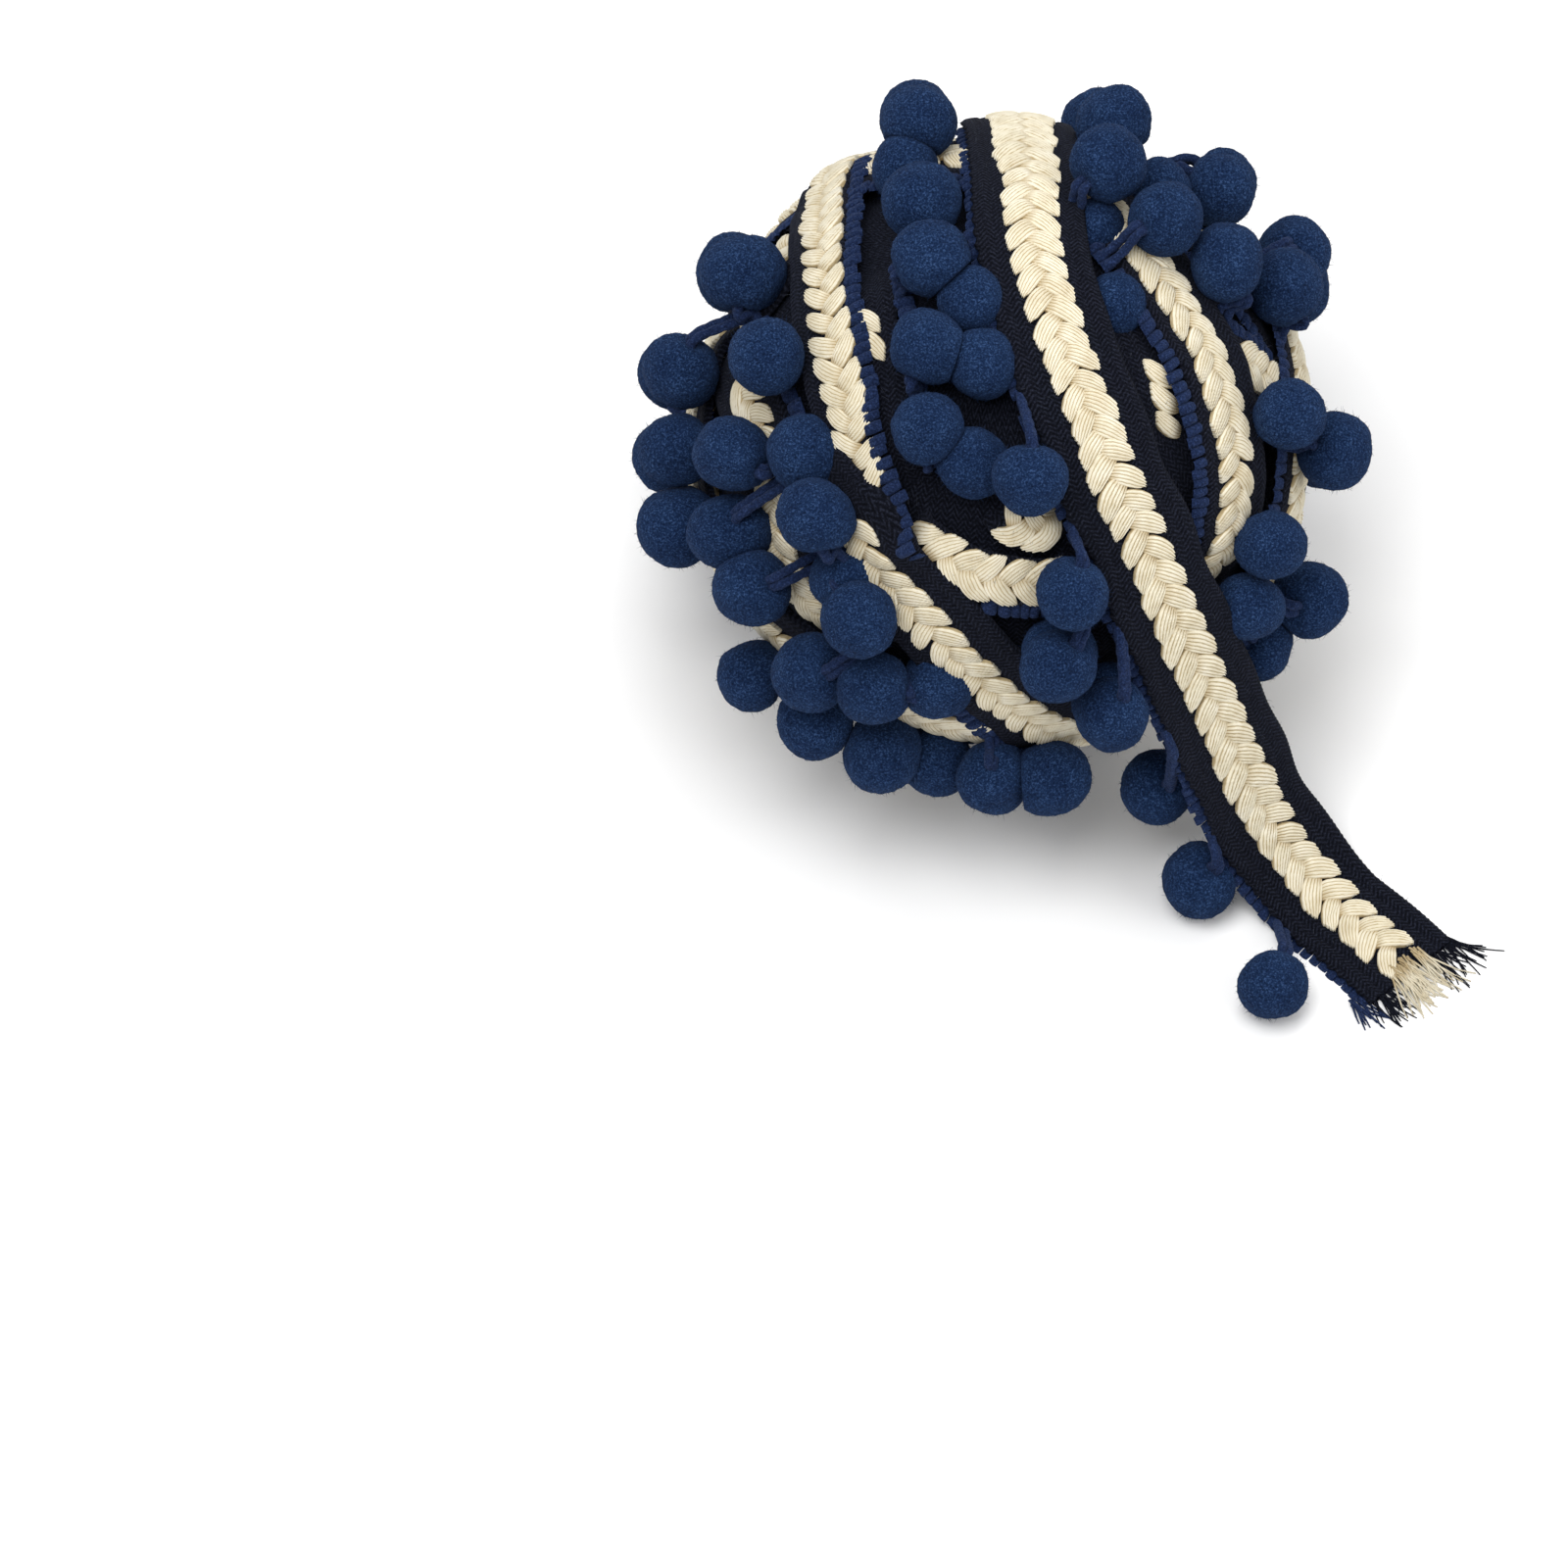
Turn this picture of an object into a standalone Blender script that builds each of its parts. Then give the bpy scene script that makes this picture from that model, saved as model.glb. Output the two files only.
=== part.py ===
"""Pompom fringe trim, wound into a ball with one loose end.

A woven tape carries a plaited cotton braid down its middle and a fringe of
felted pompoms along one edge.  Most of it is wound round and round into a
ball; the last turn comes over the top, hangs down the front and lies on the
table.  Metres, +Z up.  The ball rests on z = 0, centred over the origin.
"""
import math
from itertools import pairwise

import bpy
import bmesh
from mathutils import Matrix, Vector
from mathutils.bvhtree import BVHTree

MM = 0.001

# ---- the trim itself ------------------------------------------------------
TAPE_WIDTH = 22.5 * MM
TAPE_THICK = 1.1 * MM
BRAID_WIDTH = 9.5 * MM
BRAID_THICK = 1.5 * MM
BRAID_SLOPE = 1.0 * MM         # how far its flanks lean in
HEADER_WIDTH = 3.2 * MM
HEADER_THICK = 1.3 * MM
POMPOM_RADIUS = 7.2 * MM
ROOT_WIDTH = 2.2 * MM
GAP = 0.3 * MM                 # between pieces that touch
SEWN_GAP = 0.45 * MM           # under the braid, where both twist together

# ---- the ball -------------------------------------------------------------
CENTRE = Vector((0.0, 0.0, 60.0 * MM))
CORE_RADIUS = 56.5 * MM
TURN_ROOT = 51.0 * MM          # radius at which every turn starts, inside the core
TURN_STEP = 9.0 * MM           # length of one facet along a turn
DIVE_LENGTH = 16.0 * MM        # a turn's end sinks under its neighbours over this
TUCK_RADIUS = 55.5 * MM        # how deep that end lies
CORE_RINGS = 14
TABLE_SIZE = 200.0 * MM        # the block that cuts the flat spot
POMPOM_SIDES = 8
POMPOM_RINGS = 4
STRIP_DEPTH = 6.3 * MM         # from a pompom's middle down to its backing strip
SEAT_STEP = 0.1 * MM
STRIP_STEP = 4.0 * MM

# Turns of the winding: name, radius of the tape's face in mm, the edge that
# carries the fringe (+1 right, -1 left, seen from outside along the route), how
# far the tape reaches from the braid's middle on that edge and on the other, in
# mm (the rest is folded under), and the route as (azimuth, elevation) in degrees.
TURNS = (
    ("w", 58.8, -1, 8.5, 11.2, ((222, 4), (208, -22), (196, -48), (150, -66), (96, -56))),
    ("v", 58.9, +1, 8.5, 11.2, ((44, 42), (20, 30), (6, 4), (8, -24), (20, -48))),
    ("r", 59.1, +1, 8.5, 11.2, ((190, -6), (165, -22), (135, -33), (100, -36), (70, -36))),
    ("n", 59.2, -1, 8.5, 11.2, ((60, 55), (12, 68), (332, 56), (316, 38), (308, 20))),
    ("g", 59.3, -1, 8.5, 11.2, ((165, 26), (190, 32), (211, 31), (223, 13), (243, 2))),
    ("s", 59.4, -1, 8.5, 11.2, ((172, 22), (150, 38), (118, 30), (92, 30), (64, 20))),
    ("i", 59.5, -1, 8.5, 11.2, ((118, 40), (146, 60), (205, 63), (242, 46), (258, 34))),
    ("u", 60.8, +1, 8.5, 11.2, ((350, 4), (345, -28), (330, -60), (165, -64), (155, -34),
                                (148, -6))),
    ("k", 61.0, +1, 8.5, 11.2, ((158, 24), (184, 2), (203, -8), (229, -8), (254, -12),
                                (271, -17), (292, -18))),
    ("d", 61.1, +1, 7.0, 11.2, ((142, 0), (135, 24), (112, 52), (52, 64), (11, 61), (346, 48),
                                (336, 33), (321, 23), (310, 8))),
    ("q", 61.2, -1, 8.5, 11.2, ((50, 34), (54, 5), (58, -28), (64, -60), (244, -64),
                                (250, -38))),
    ("c", 61.4, +1, 9.3, 11.2, ((222, 45), (238, 33), (257, 16), (270, 0), (283, -18),
                                (306, -42), (13, -64), (78, -44), (105, -18), (118, 6))),
    ("l", 61.5, +1, 8.5, 11.2, ((68, 40), (36, 24), (14, 16), (352, 12), (336, 0), (322, -18))),
    ("b", 61.6, -1, 5.6, 9.0, ((88, -18), (98, 2), (129, 34), (166, 54), (215, 52), (241, 40),
                               (254, 28))),
    ("e", 61.8, +1, 6.8, 6.0, ((234, 46), (250, 37), (259, 33), (268, 31), (277, 30), (297, 26))),
    ("f", 61.9, -1, 8.5, 5.5, ((258, 46), (268, 39), (284, 36), (300, 38))),
    ("p", 61.9, +1, 8.5, 11.2, ((8, -24), (35, 0), (65, 12), (95, 14), (125, 5), (150, -10),
                                (172, -24), (192, -38))),
)

# Fringe standing on the ball: each row is one narrow backing strip, and the
# (azimuth, elevation) in degrees of every pompom that it carries.
FRINGES = (
    ("fringe_top_left", ((113, 53), (137, 71), (189, 78), (234, 68), (247, 55))),
    ("fringe_top_right", ((62, 46), (46, 65))),
    ("fringe_right_high", ((37, 37), (20, 60), (10, 48))),
    ("fringe_right_rim", ((28, 18), (14, 30))),
    ("fringe_right_low", ((344, 29), (348, 14))),
    ("fringe_right_front", ((325, 15), (332, -7), (323, -13))),
    ("fringe_left_high", ((167, 38), (196, 45))),
    ("fringe_left_rim", ((206, 29), (191, 13), (180, 21))),
    ("fringe_left_low", ((200, 3), (212, 15), (222, 11))),
    ("fringe_front_left", ((230, 33), (244, 19), (248, 3), (236, 0))),
    ("fringe_front_low", ((223, -13), (237, -14), (249, -17))),
    ("fringe_foot", ((269, -21), (279, -20))),
    ("fringe_back_top", ((104, 15), (73, 14), (49, 13))),
    ("fringe_back_right", ((33, -1), (6, -12), (24, -24))),
    ("fringe_back_mid", ((48, -18), (66, -8), (85, -5), (104, -8))),
    ("fringe_back_left", ((139, -5), (124, -14))),
    ("fringe_back_rim", ((160, -8), (170, -18), (186, -18))),
    ("fringe_back_low", ((92, -26), (116, -30), (134, -42))),
    ("fringe_left_foot", ((148, -26), (158, -43), (185, -42))),
    ("fringe_right_foot", ((66, -28), (40, -34), (14, -46))),
)

# ---- the loose end --------------------------------------------------------
LOOSE_RADIUS = 63.8 * MM       # middle of the tape where it lies over the ball
# Over the ball: (azimuth, elevation) in degrees.
LOOSE_OVER = ((86, 36), (84, 50), (76, 70), (20, 84), (305, 73), (299, 56), (299, 43))
# Off the ball: (x, y, z) in mm, down to the table, which no point goes below.
LOOSE_DOWN = ((28, -47, 92), (32, -52, 81.5), (36.5, -55, 68.5), (42, -57.5, 51),
              (47.5, -59.5, 33), (52.5, -61.5, 18), (59.5, -65.5, 6.5),
              (67.5, -72.5, 0.6), (75, -80, 0.5), (82, -87.5, 0.5))
LOOSE_STEP = 5.0 * MM
LOOSE_HEADER_WIDTH = 1.8 * MM  # the corded edge is half hidden by the tape there
FLAT_ROWS = 3                  # last rows of the table above that lie flat
# Pompoms of the loose end: (x, y, z) in mm.
LOOSE_POMPOMS = ((3.0, -45.0, 112.0), (13.7, -59.4, 92.2), (11.0, -65.6, 76.5),
                 (22.0, -66.6, 61.0), (31.5, -58.0, 23.0), (40.0, -76.0, 7.6),
                 (54.0, -95.5, 7.6))

# ---- colours --------------------------------------------------------------
NAVY_TAPE = (0.010, 0.012, 0.022)
ECRU_BRAID = (0.78, 0.68, 0.47)
BLUE_WOOL = (0.016, 0.040, 0.120)


def clear_scene():
    for item in list(bpy.data.objects):
        bpy.data.objects.remove(item, do_unlink=True)


def new_collection(name):
    group = bpy.data.collections.new(name)
    bpy.context.scene.collection.children.link(group)
    return group


def cloth_material(name, colour, roughness):
    material = bpy.data.materials.new(name)
    material.use_nodes = True
    shader = material.node_tree.nodes["Principled BSDF"]
    shader.inputs["Base Color"].default_value = (*colour, 1.0)
    shader.inputs["Roughness"].default_value = roughness
    shader.inputs["Metallic"].default_value = 0.0
    return material


def mesh_object(name, mesh_data, group, material=None):
    item = bpy.data.objects.new(name, mesh_data)
    group.objects.link(item)
    if material:
        mesh_data.materials.append(material)
    return item


def direction(place):
    """Unit vector of an (azimuth, elevation) in degrees."""
    azimuth = math.radians(place[0])
    elevation = math.radians(place[1])
    level = math.cos(elevation)
    return Vector((level * math.cos(azimuth), level * math.sin(azimuth), math.sin(elevation)))


def smooth_route(knots, step):
    """Points about one step apart on a smooth curve through the knots."""
    ends = [2 * knots[0] - knots[1]] + list(knots) + [2 * knots[-1] - knots[-2]]
    route = []
    for k in range(1, len(ends) - 2):
        before, start, stop, after = ends[k - 1:k + 3]
        pieces = max(1, round((stop - start).length / step))
        for i in range(pieces):
            t = i / pieces
            bend = (2 * before - 5 * start + 4 * stop - after) * t * t
            twist = (3 * start - before - 3 * stop + after) * t * t * t
            route.append(start + ((stop - before) * t + bend + twist) / 2)
    return route + [knots[-1].copy()]


def tangents(route):
    last = len(route) - 1
    return [(route[min(i + 1, last)] - route[max(i - 1, 0)]).normalized()
            for i in range(len(route))]


def loft(rings, name):
    """Closed body through equal rings of points, capped at both ends."""
    shape = bmesh.new()
    rows = [[shape.verts.new(point) for point in ring] for ring in rings]
    count = len(rows[0])
    for near, far in zip(rows, rows[1:]):
        for k in range(count):
            after = (k + 1) % count
            shape.faces.new((near[k], near[after], far[after], far[k]))
    shape.faces.new(rows[0][::-1])
    shape.faces.new(rows[-1])
    bmesh.ops.recalc_face_normals(shape, faces=shape.faces)
    mesh_data = bpy.data.meshes.new(name)
    shape.to_mesh(mesh_data)
    shape.free()
    return mesh_data


def turn_route(places, radius):
    """A turn's route as unit vectors from the ball's centre."""
    knots = [direction(place) * radius for place in places]
    return [point.normalized() for point in smooth_route(knots, TURN_STEP)]


def dive(i, last, radius):
    """Radius of the tape's face at step i: the ends sink under other turns."""
    along = min(i, last - i) * TURN_STEP / DIVE_LENGTH
    ease = min(1.0, along)
    ease = ease * ease * (3 - 2 * ease)
    return TUCK_RADIUS + (radius - TUCK_RADIUS) * ease


def turn_rings(places, radius, fringe_side, rim, far):
    """Cross-sections of a turn: header ledge, tape, and the raised braid."""
    rib = BRAID_WIDTH / 2
    ledge = rim + GAP + HEADER_WIDTH
    crown = rib - BRAID_SLOPE
    profile = [(-far, -TAPE_THICK), (-far, 0.0), (-rib, 0.0), (-crown, BRAID_THICK),
               (crown, BRAID_THICK), (rib, 0.0), (rim, 0.0), (ledge, -TAPE_THICK)]
    route = turn_route(places, radius)
    rings = []
    for i, (up, ahead) in enumerate(zip(route, tangents(route))):
        face = dive(i, len(route) - 1, radius)
        side = ahead.cross(up).normalized() * fringe_side
        ring = [(up * TURN_ROOT) + side * (ledge * TURN_ROOT / radius)]
        ring.append(up * TURN_ROOT - side * (far * TURN_ROOT / radius))
        for across, lift in profile:
            turn = across / radius
            ray = up * math.cos(turn) + side * math.sin(turn)
            ring.append(ray * (face + lift))
        rings.append([CENTRE + point for point in ring])
    return rings


def join(base, addition):
    """Boolean union of two objects, kept in the first."""
    change = base.modifiers.new("join", "BOOLEAN")
    change.operation = "UNION"
    change.solver = "EXACT"
    change.object = addition
    bake(base)
    bpy.data.objects.remove(addition, do_unlink=True)


def trim(base, cutter):
    change = base.modifiers.new("trim", "BOOLEAN")
    change.operation = "DIFFERENCE"
    change.solver = "EXACT"
    change.object = cutter
    bake(base)


def bake(item):
    """Replace an object's mesh by its evaluated one."""
    view = bpy.context.evaluated_depsgraph_get()
    view.update()
    result = bpy.data.meshes.new_from_object(item.evaluated_get(view))
    item.modifiers.clear()
    item.data = result


def ball_object(name, radius, place, sides, rings, group, turn=0.0):
    shape = bmesh.new()
    bmesh.ops.create_uvsphere(shape, u_segments=sides, v_segments=rings, radius=radius)
    mesh_data = bpy.data.meshes.new(name)
    shape.to_mesh(mesh_data)
    shape.free()
    item = mesh_object(name, mesh_data, group)
    item.location = place
    item.rotation_euler = (0.0, 0.0, turn)
    return item


def build_ball(parts, spare, material):
    ball = ball_object("ball", CORE_RADIUS, CENTRE, 2 * CORE_RINGS, CORE_RINGS, parts)
    bake(ball)
    for name, radius_mm, fringe_side, rim_mm, far_mm, places in TURNS:
        rings = turn_rings(places, radius_mm * MM, fringe_side, rim_mm * MM, far_mm * MM)
        join(ball, mesh_object("turn_" + name, loft(rings, "turn_" + name), spare))
    table = bmesh.new()
    bmesh.ops.create_cube(table, size=TABLE_SIZE)
    table_mesh = bpy.data.meshes.new("table")
    table.to_mesh(table_mesh)
    table.free()
    cutter = mesh_object("table", table_mesh, spare)
    cutter.location = (0.0, 0.0, -TABLE_SIZE / 2)
    cutter.hide_render = True
    cutter.display_type = "WIRE"
    trim(ball, cutter)
    ball.data.materials.clear()
    ball.data.materials.append(material)
    return ball


def strip_rings(route, ups, middle_offset, width, thick):
    """Rectangular sections along a route, each lying square to its up vector."""
    rings = []
    for point, up, ahead in zip(route, ups, tangents(route)):
        side = ahead.cross(up).normalized()
        lift = side.cross(ahead).normalized()
        centre = point + side * middle_offset[0] + lift * middle_offset[1]
        rings.append([centre + side * a * width / 2 + lift * b * thick / 2
                      for a, b in ((-1, -1), (-1, 1), (1, 1), (1, -1))])
    return rings


def surface_of(item):
    """Search tree of an object's surface, measured from the ball's centre."""
    shape = bmesh.new()
    shape.from_mesh(item.data)
    shape.transform(Matrix.Translation(item.location - CENTRE))
    surface = BVHTree.FromBMesh(shape)
    shape.free()
    return surface


def is_clear(surface, point, room):
    """Whether a point lies outside a surface and at least room away from it."""
    nearest, normal, _, distance = surface.find_nearest(point)
    return distance >= room and (point - nearest).dot(normal) > 0.0


def seat_radius(surfaces, rays, room):
    """Lowest radius at which every ray's end has that room around it."""
    radius = CORE_RADIUS
    while not all(is_clear(surface, ray * radius, room) for surface in surfaces
                  for ray in rays):
        radius += SEAT_STEP
    return radius


def build_fringe(name, places, surfaces, parts, spare, material):
    """One backing strip on the ball with its pompoms, each on its own seat."""
    knots = [direction(place) for place in places]
    seats = [seat_radius(surfaces, [ray], POMPOM_RADIUS + GAP) for ray in knots]
    route = []
    depths = []
    for (start, low), (stop, high) in pairwise(zip(knots, seats)):
        pieces = max(2, round(start.angle(stop) * CORE_RADIUS / STRIP_STEP))
        for i in range(pieces):
            route.append(start.slerp(stop, i / pieces))
            depths.append(low + (high - low) * i / pieces - STRIP_DEPTH)
    route.append(knots[-1])
    depths.append(seats[-1] - STRIP_DEPTH)
    needs = []
    for up, ahead, depth in zip(route, tangents(route), depths):
        side = ahead.cross(up).normalized() * (HEADER_WIDTH / 2 / CORE_RADIUS)
        edges = [up, (up + side).normalized(), (up - side).normalized()]
        needs.append(max(depth, seat_radius(surfaces, edges, HEADER_THICK / 2 + SEWN_GAP)))
    highs = [max(needs[max(i - 1, 0):i + 2]) for i in range(len(needs))]
    points = [CENTRE + ray * high for ray, high in zip(route, highs)]
    rings = strip_rings(points, route, (0.0, 0.0), HEADER_WIDTH, HEADER_THICK)
    strip = mesh_object(name, loft(rings, name), parts)
    for k, (ray, seat) in enumerate(zip(knots, seats)):
        pompom = ball_object("pompom", POMPOM_RADIUS, CENTRE + ray * seat,
                             POMPOM_SIDES, POMPOM_RINGS, spare, turn=0.3 + k)
        join(strip, pompom)
    strip.data.materials.clear()
    strip.data.materials.append(material)


def loose_route():
    """Middle line of the loose end, with the direction its face looks in."""
    over = [CENTRE + direction(place) * LOOSE_RADIUS for place in LOOSE_OVER]
    down = [Vector(row) * MM for row in LOOSE_DOWN]
    route = smooth_route(over + down, LOOSE_STEP)
    for point in route:
        point.z = max(point.z, TAPE_THICK / 2)
    aheads = tangents(route)
    leave = route.index(min(route, key=lambda point: (point - down[0]).length))
    land = route.index(min(route, key=lambda point: (point - down[-FLAT_ROWS]).length))
    side_leave = aheads[leave].cross(route[leave] - CENTRE).normalized()
    side_land = aheads[-1].cross(Vector((0.0, 0.0, 1.0))).normalized()
    ups = []
    for i, (point, ahead) in enumerate(zip(route, aheads)):
        if i <= leave:
            ups.append((point - CENTRE).normalized())
        elif i >= land:
            ups.append(Vector((0.0, 0.0, 1.0)))
        else:
            side = side_leave.lerp(side_land, (i - leave) / (land - leave))
            ups.append(side.cross(ahead).normalized())
    return route, ups


def build_loose_end(parts, spare, tape_material, braid_material, fringe_material):
    route, ups = loose_route()
    tape = strip_rings(route, ups, (0.0, 0.0), TAPE_WIDTH, TAPE_THICK)
    cloth = mesh_object("loose_tape", loft(tape, "loose_tape"), parts, tape_material)
    rise = TAPE_THICK / 2 + SEWN_GAP + BRAID_THICK / 2
    braid = strip_rings(route, ups, (0.0, rise), BRAID_WIDTH, BRAID_THICK)
    mesh_object("loose_braid", loft(braid, "loose_braid"), parts, braid_material)
    beside = TAPE_WIDTH / 2 + SEWN_GAP + LOOSE_HEADER_WIDTH / 2
    header = strip_rings(route, ups, (beside, 0.0), LOOSE_HEADER_WIDTH, TAPE_THICK)
    fringe = mesh_object("loose_fringe", loft(header, "loose_fringe"), parts)
    middles = [sum(ring, Vector()) / len(ring) for ring in header]
    for k, row in enumerate(LOOSE_POMPOMS):
        centre = Vector(row) * MM
        root = min(middles, key=lambda point: (point - centre).length).copy()
        root.z = max(root.z, 0.75 * ROOT_WIDTH)
        ahead = (centre - root).normalized()
        stem_ups = [ahead.orthogonal()] * 2
        rings = strip_rings([root, centre], stem_ups, (0.0, 0.0), ROOT_WIDTH, ROOT_WIDTH / 2)
        join(fringe, mesh_object("root", loft(rings, "root"), spare))
        join(fringe, ball_object("pompom", POMPOM_RADIUS, centre, POMPOM_SIDES,
                                 POMPOM_RINGS, spare, turn=0.2 * k))
    fringe.data.materials.clear()
    fringe.data.materials.append(fringe_material)
    return cloth, fringe


def main():
    clear_scene()
    parts = new_collection("pompom_fringe_trim")
    spare = new_collection("cutters")
    navy = cloth_material("navy_tape", NAVY_TAPE, 0.9)
    ecru = cloth_material("ecru_braid", ECRU_BRAID, 0.85)
    blue = cloth_material("blue_wool", BLUE_WOOL, 0.95)
    ball = build_ball(parts, spare, navy)
    cloth, fringe = build_loose_end(parts, spare, navy, ecru, blue)
    surfaces = [surface_of(item) for item in (ball, cloth, fringe)]
    for name, places in FRINGES:
        build_fringe(name, places, surfaces, parts, spare, blue)


main()
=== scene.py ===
"""The looks of the pompom fringe trim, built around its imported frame.

Each turn of the winding is laid again as a knitted tape with its plaited braid
and its corded edge, draped over the turns beneath it.  Felted pompoms on
doubled cords stand for the fringe, and the loose end gets its frayed cut.  The
fringe and the loose end follow the CAD, but for two pompoms.  The turns in front
follow the photograph, and lie some millimetres off the CAD's.  Metres, +Z up.
"""
import math

import bmesh
import bpy
import numpy as np
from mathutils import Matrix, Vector
from mathutils.bvhtree import BVHTree


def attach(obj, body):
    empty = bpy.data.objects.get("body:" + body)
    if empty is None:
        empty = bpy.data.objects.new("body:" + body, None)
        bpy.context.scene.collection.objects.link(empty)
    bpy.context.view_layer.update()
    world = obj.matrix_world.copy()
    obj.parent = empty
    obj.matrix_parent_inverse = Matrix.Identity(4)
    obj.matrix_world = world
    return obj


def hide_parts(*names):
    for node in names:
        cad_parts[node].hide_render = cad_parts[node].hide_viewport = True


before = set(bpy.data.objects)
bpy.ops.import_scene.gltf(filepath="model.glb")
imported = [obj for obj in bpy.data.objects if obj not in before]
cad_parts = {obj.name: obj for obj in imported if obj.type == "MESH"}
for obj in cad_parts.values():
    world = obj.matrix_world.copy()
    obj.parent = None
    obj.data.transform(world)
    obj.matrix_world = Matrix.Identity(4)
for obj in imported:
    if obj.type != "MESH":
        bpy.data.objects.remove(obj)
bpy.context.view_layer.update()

MM = 0.001
SEED = 7
rng = np.random.default_rng(SEED)

# ---- the trim: sizes as in the CAD
CENTRE = np.array((0.0, 0.0, 60.0)) * MM
TAPE_WIDTH = 22.5 * MM
TAPE_THICK = 1.1 * MM
BRAID_WIDTH = 9.5 * MM
BRAID_THICK = 1.5 * MM
HEADER_WIDTH = 3.2 * MM
POMPOM_RADIUS = 7.2 * MM
CORE_RADIUS = 56.5 * MM
DIVE_LENGTH = 16.0 * MM        # a turn's end sinks under its neighbours over this
TUCK_RADIUS = 55.5 * MM        # how deep that end lies
SEAT_STEP = 0.1 * MM
GAP = 0.3 * MM
HALF = TAPE_WIDTH / 2

# Turns, each laid over the rows before it: name, radius of the tape's face in mm,
# fringe edge (+1 right, -1 left), how far the tape reaches on that edge and on the
# other in mm, and the route as (azimuth, elevation) in degrees.  The CAD has no x.
TURNS = (
    ("w", 58.8, -1, 8.5, 11.2, ((222, 4), (208, -22), (196, -48), (150, -66), (96, -56))),
    ("v", 58.9, +1, 8.5, 11.2, ((44, 42), (20, 30), (6, 4), (8, -24), (20, -48))),
    ("r", 59.1, +1, 8.5, 11.2, ((190, -6), (165, -22), (135, -33), (100, -36), (70, -36))),
    ("n", 58.2, +1, 8.5, 11.2,
     ((323, 39), (327, 44), (332, 50), (341, 56), (352, 61), (5, 66), (60, 56))),
    ("g", 59.3, -1, 8.5, 11.2, ((161, 19), (188, 30), (209, 29), (223, 13), (243, 2))),
    ("s", 59.4, -1, 8.5, 11.2, ((172, 22), (150, 38), (118, 30), (92, 30), (64, 20))),
    ("i", 59.5, -1, 8.5, 11.2, ((162, 57), (180, 60), (202, 60), (222, 54), (238, 44), (247, 38))),
    ("x", 59.6, -1, 5.4, 8.0, ((354, 53), (353, 44), (354, 35), (356, 23), (2, 7))),
    ("u", 60.8, +1, 8.5, 11.2,
     ((350, 4), (345, -28), (330, -60), (165, -64), (155, -34), (148, -6))),
    ("k", 61.0, +1, 8.5, 11.2,
     ((158, 24), (184, 2), (203, -8), (229, -8), (254, -12), (271, -17), (292, -18))),
    ("d", 61.1, +1, 7.6, 11.2,
     ((142, 0), (135, 24), (112, 52), (52, 64), (14, 61), (0, 57), (347, 48), (334, 35),
      (327, 26), (317, 14), (311, 8))),
    ("q", 61.2, -1, 8.5, 11.2, ((50, 34), (54, 5), (58, -28), (64, -60), (244, -64), (250, -38))),
    ("e", 61.1, +1, 5.4, 5.0, ((246, 36), (251, 34), (258, 32), (267, 29), (276, 28), (285, 26))),
    ("f", 60.6, +1, 8.5, 5.0, ((285, 42), (281, 39), (276, 39), (271, 41), (268, 44))),
    ("b", 61.4, +1, 5.6, 9.0,
     ((251, 27), (245, 33), (235, 41), (222, 49), (215, 52), (166, 54), (129, 34), (98, 2),
      (88, -18))),
    ("c", 61.5, +1, 9.3, 11.2,
     ((208, 38), (221, 35), (230, 32), (238, 31), (244, 26), (257, 16), (270, 0), (283, -18),
      (306, -42), (13, -64), (78, -44), (105, -18), (118, 6))),
    ("l", 61.6, +1, 8.5, 11.2, ((68, 40), (36, 24), (14, 16), (352, 12), (336, 0), (322, -18))),
    ("p", 61.9, +1, 8.5, 11.2,
     ((8, -24), (35, 0), (65, 12), (95, 14), (125, 5), (150, -10), (172, -24), (192, -38))),
)
# Where a fringe edge is folded in: rows of (distance along the turn, distance of
# the corded edge's middle from the braid's), in mm.
FOLDED = {
    "b": ((0, 2.6), (8, 4.3), (14, 4.9), (34, 4.9), (42, 5.4), (64, 5.6), (80, 7.0)),
    "c": ((0, 6.2), (16, 5.0), (25, 3.4), (31, 4.8), (36, 7.4), (42, 10.1), (50, 10.7)),
}
# Turns whose plait stays hidden over their first stretch, in mm.
BARE_STARTS = {"b": 12.0, "c": 25.0, "e": 2.5, "g": 27.0}
# Corded edges that stay folded under over their first stretch, in mm.
TUCKED_EDGES = {"c": 58.0, "f": 100.0}
# Turns whose ends sink more steeply than over DIVE_LENGTH, in mm.
STEEP_ENDS = {"b": 7.0, "e": 6.0, "f": 6.0}

# Fringe on the ball: CAD node after "fringe_", and its pompoms' (azimuth,
# elevation) in degrees.
FRINGES = (
    ("top_left", ((113, 53), (137, 71), (189, 78), (234, 68), (247, 55))),
    ("top_right", ((62, 46), (46, 65))),
    ("right_high", ((37, 37), (20, 60), (10, 48))),
    ("right_rim", ((28, 18), (14, 30))),
    ("right_low", ((344, 29), (348, 14))),
    ("right_front", ((325, 15), (332, -7), (323, -13))),
    ("left_high", ((167, 38), (196, 45))),
    ("left_rim", ((206, 29), (191, 13), (180, 21))),
    ("left_low", ((200, 3), (212, 15), (222, 11))),
    ("front_left", ((230, 33), (244, 19), (248, 3), (236, 0))),
    ("front_low", ((223, -13), (237, -14), (249, -17))),
    ("foot", ((269, -21), (279, -20))),
    ("back_top", ((104, 15), (73, 14), (49, 13))),
    ("back_right", ((33, -1), (6, -12), (24, -24))),
    ("back_mid", ((48, -18), (66, -8), (85, -5), (104, -8))),
    ("back_left", ((139, -5), (124, -14))),
    ("back_rim", ((160, -8), (170, -18), (186, -18))),
    ("back_low", ((92, -26), (116, -30), (134, -42))),
    ("left_foot", ((148, -26), (158, -43), (185, -42))),
    ("right_foot", ((66, -28), (40, -34), (14, -46))),
)
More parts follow.
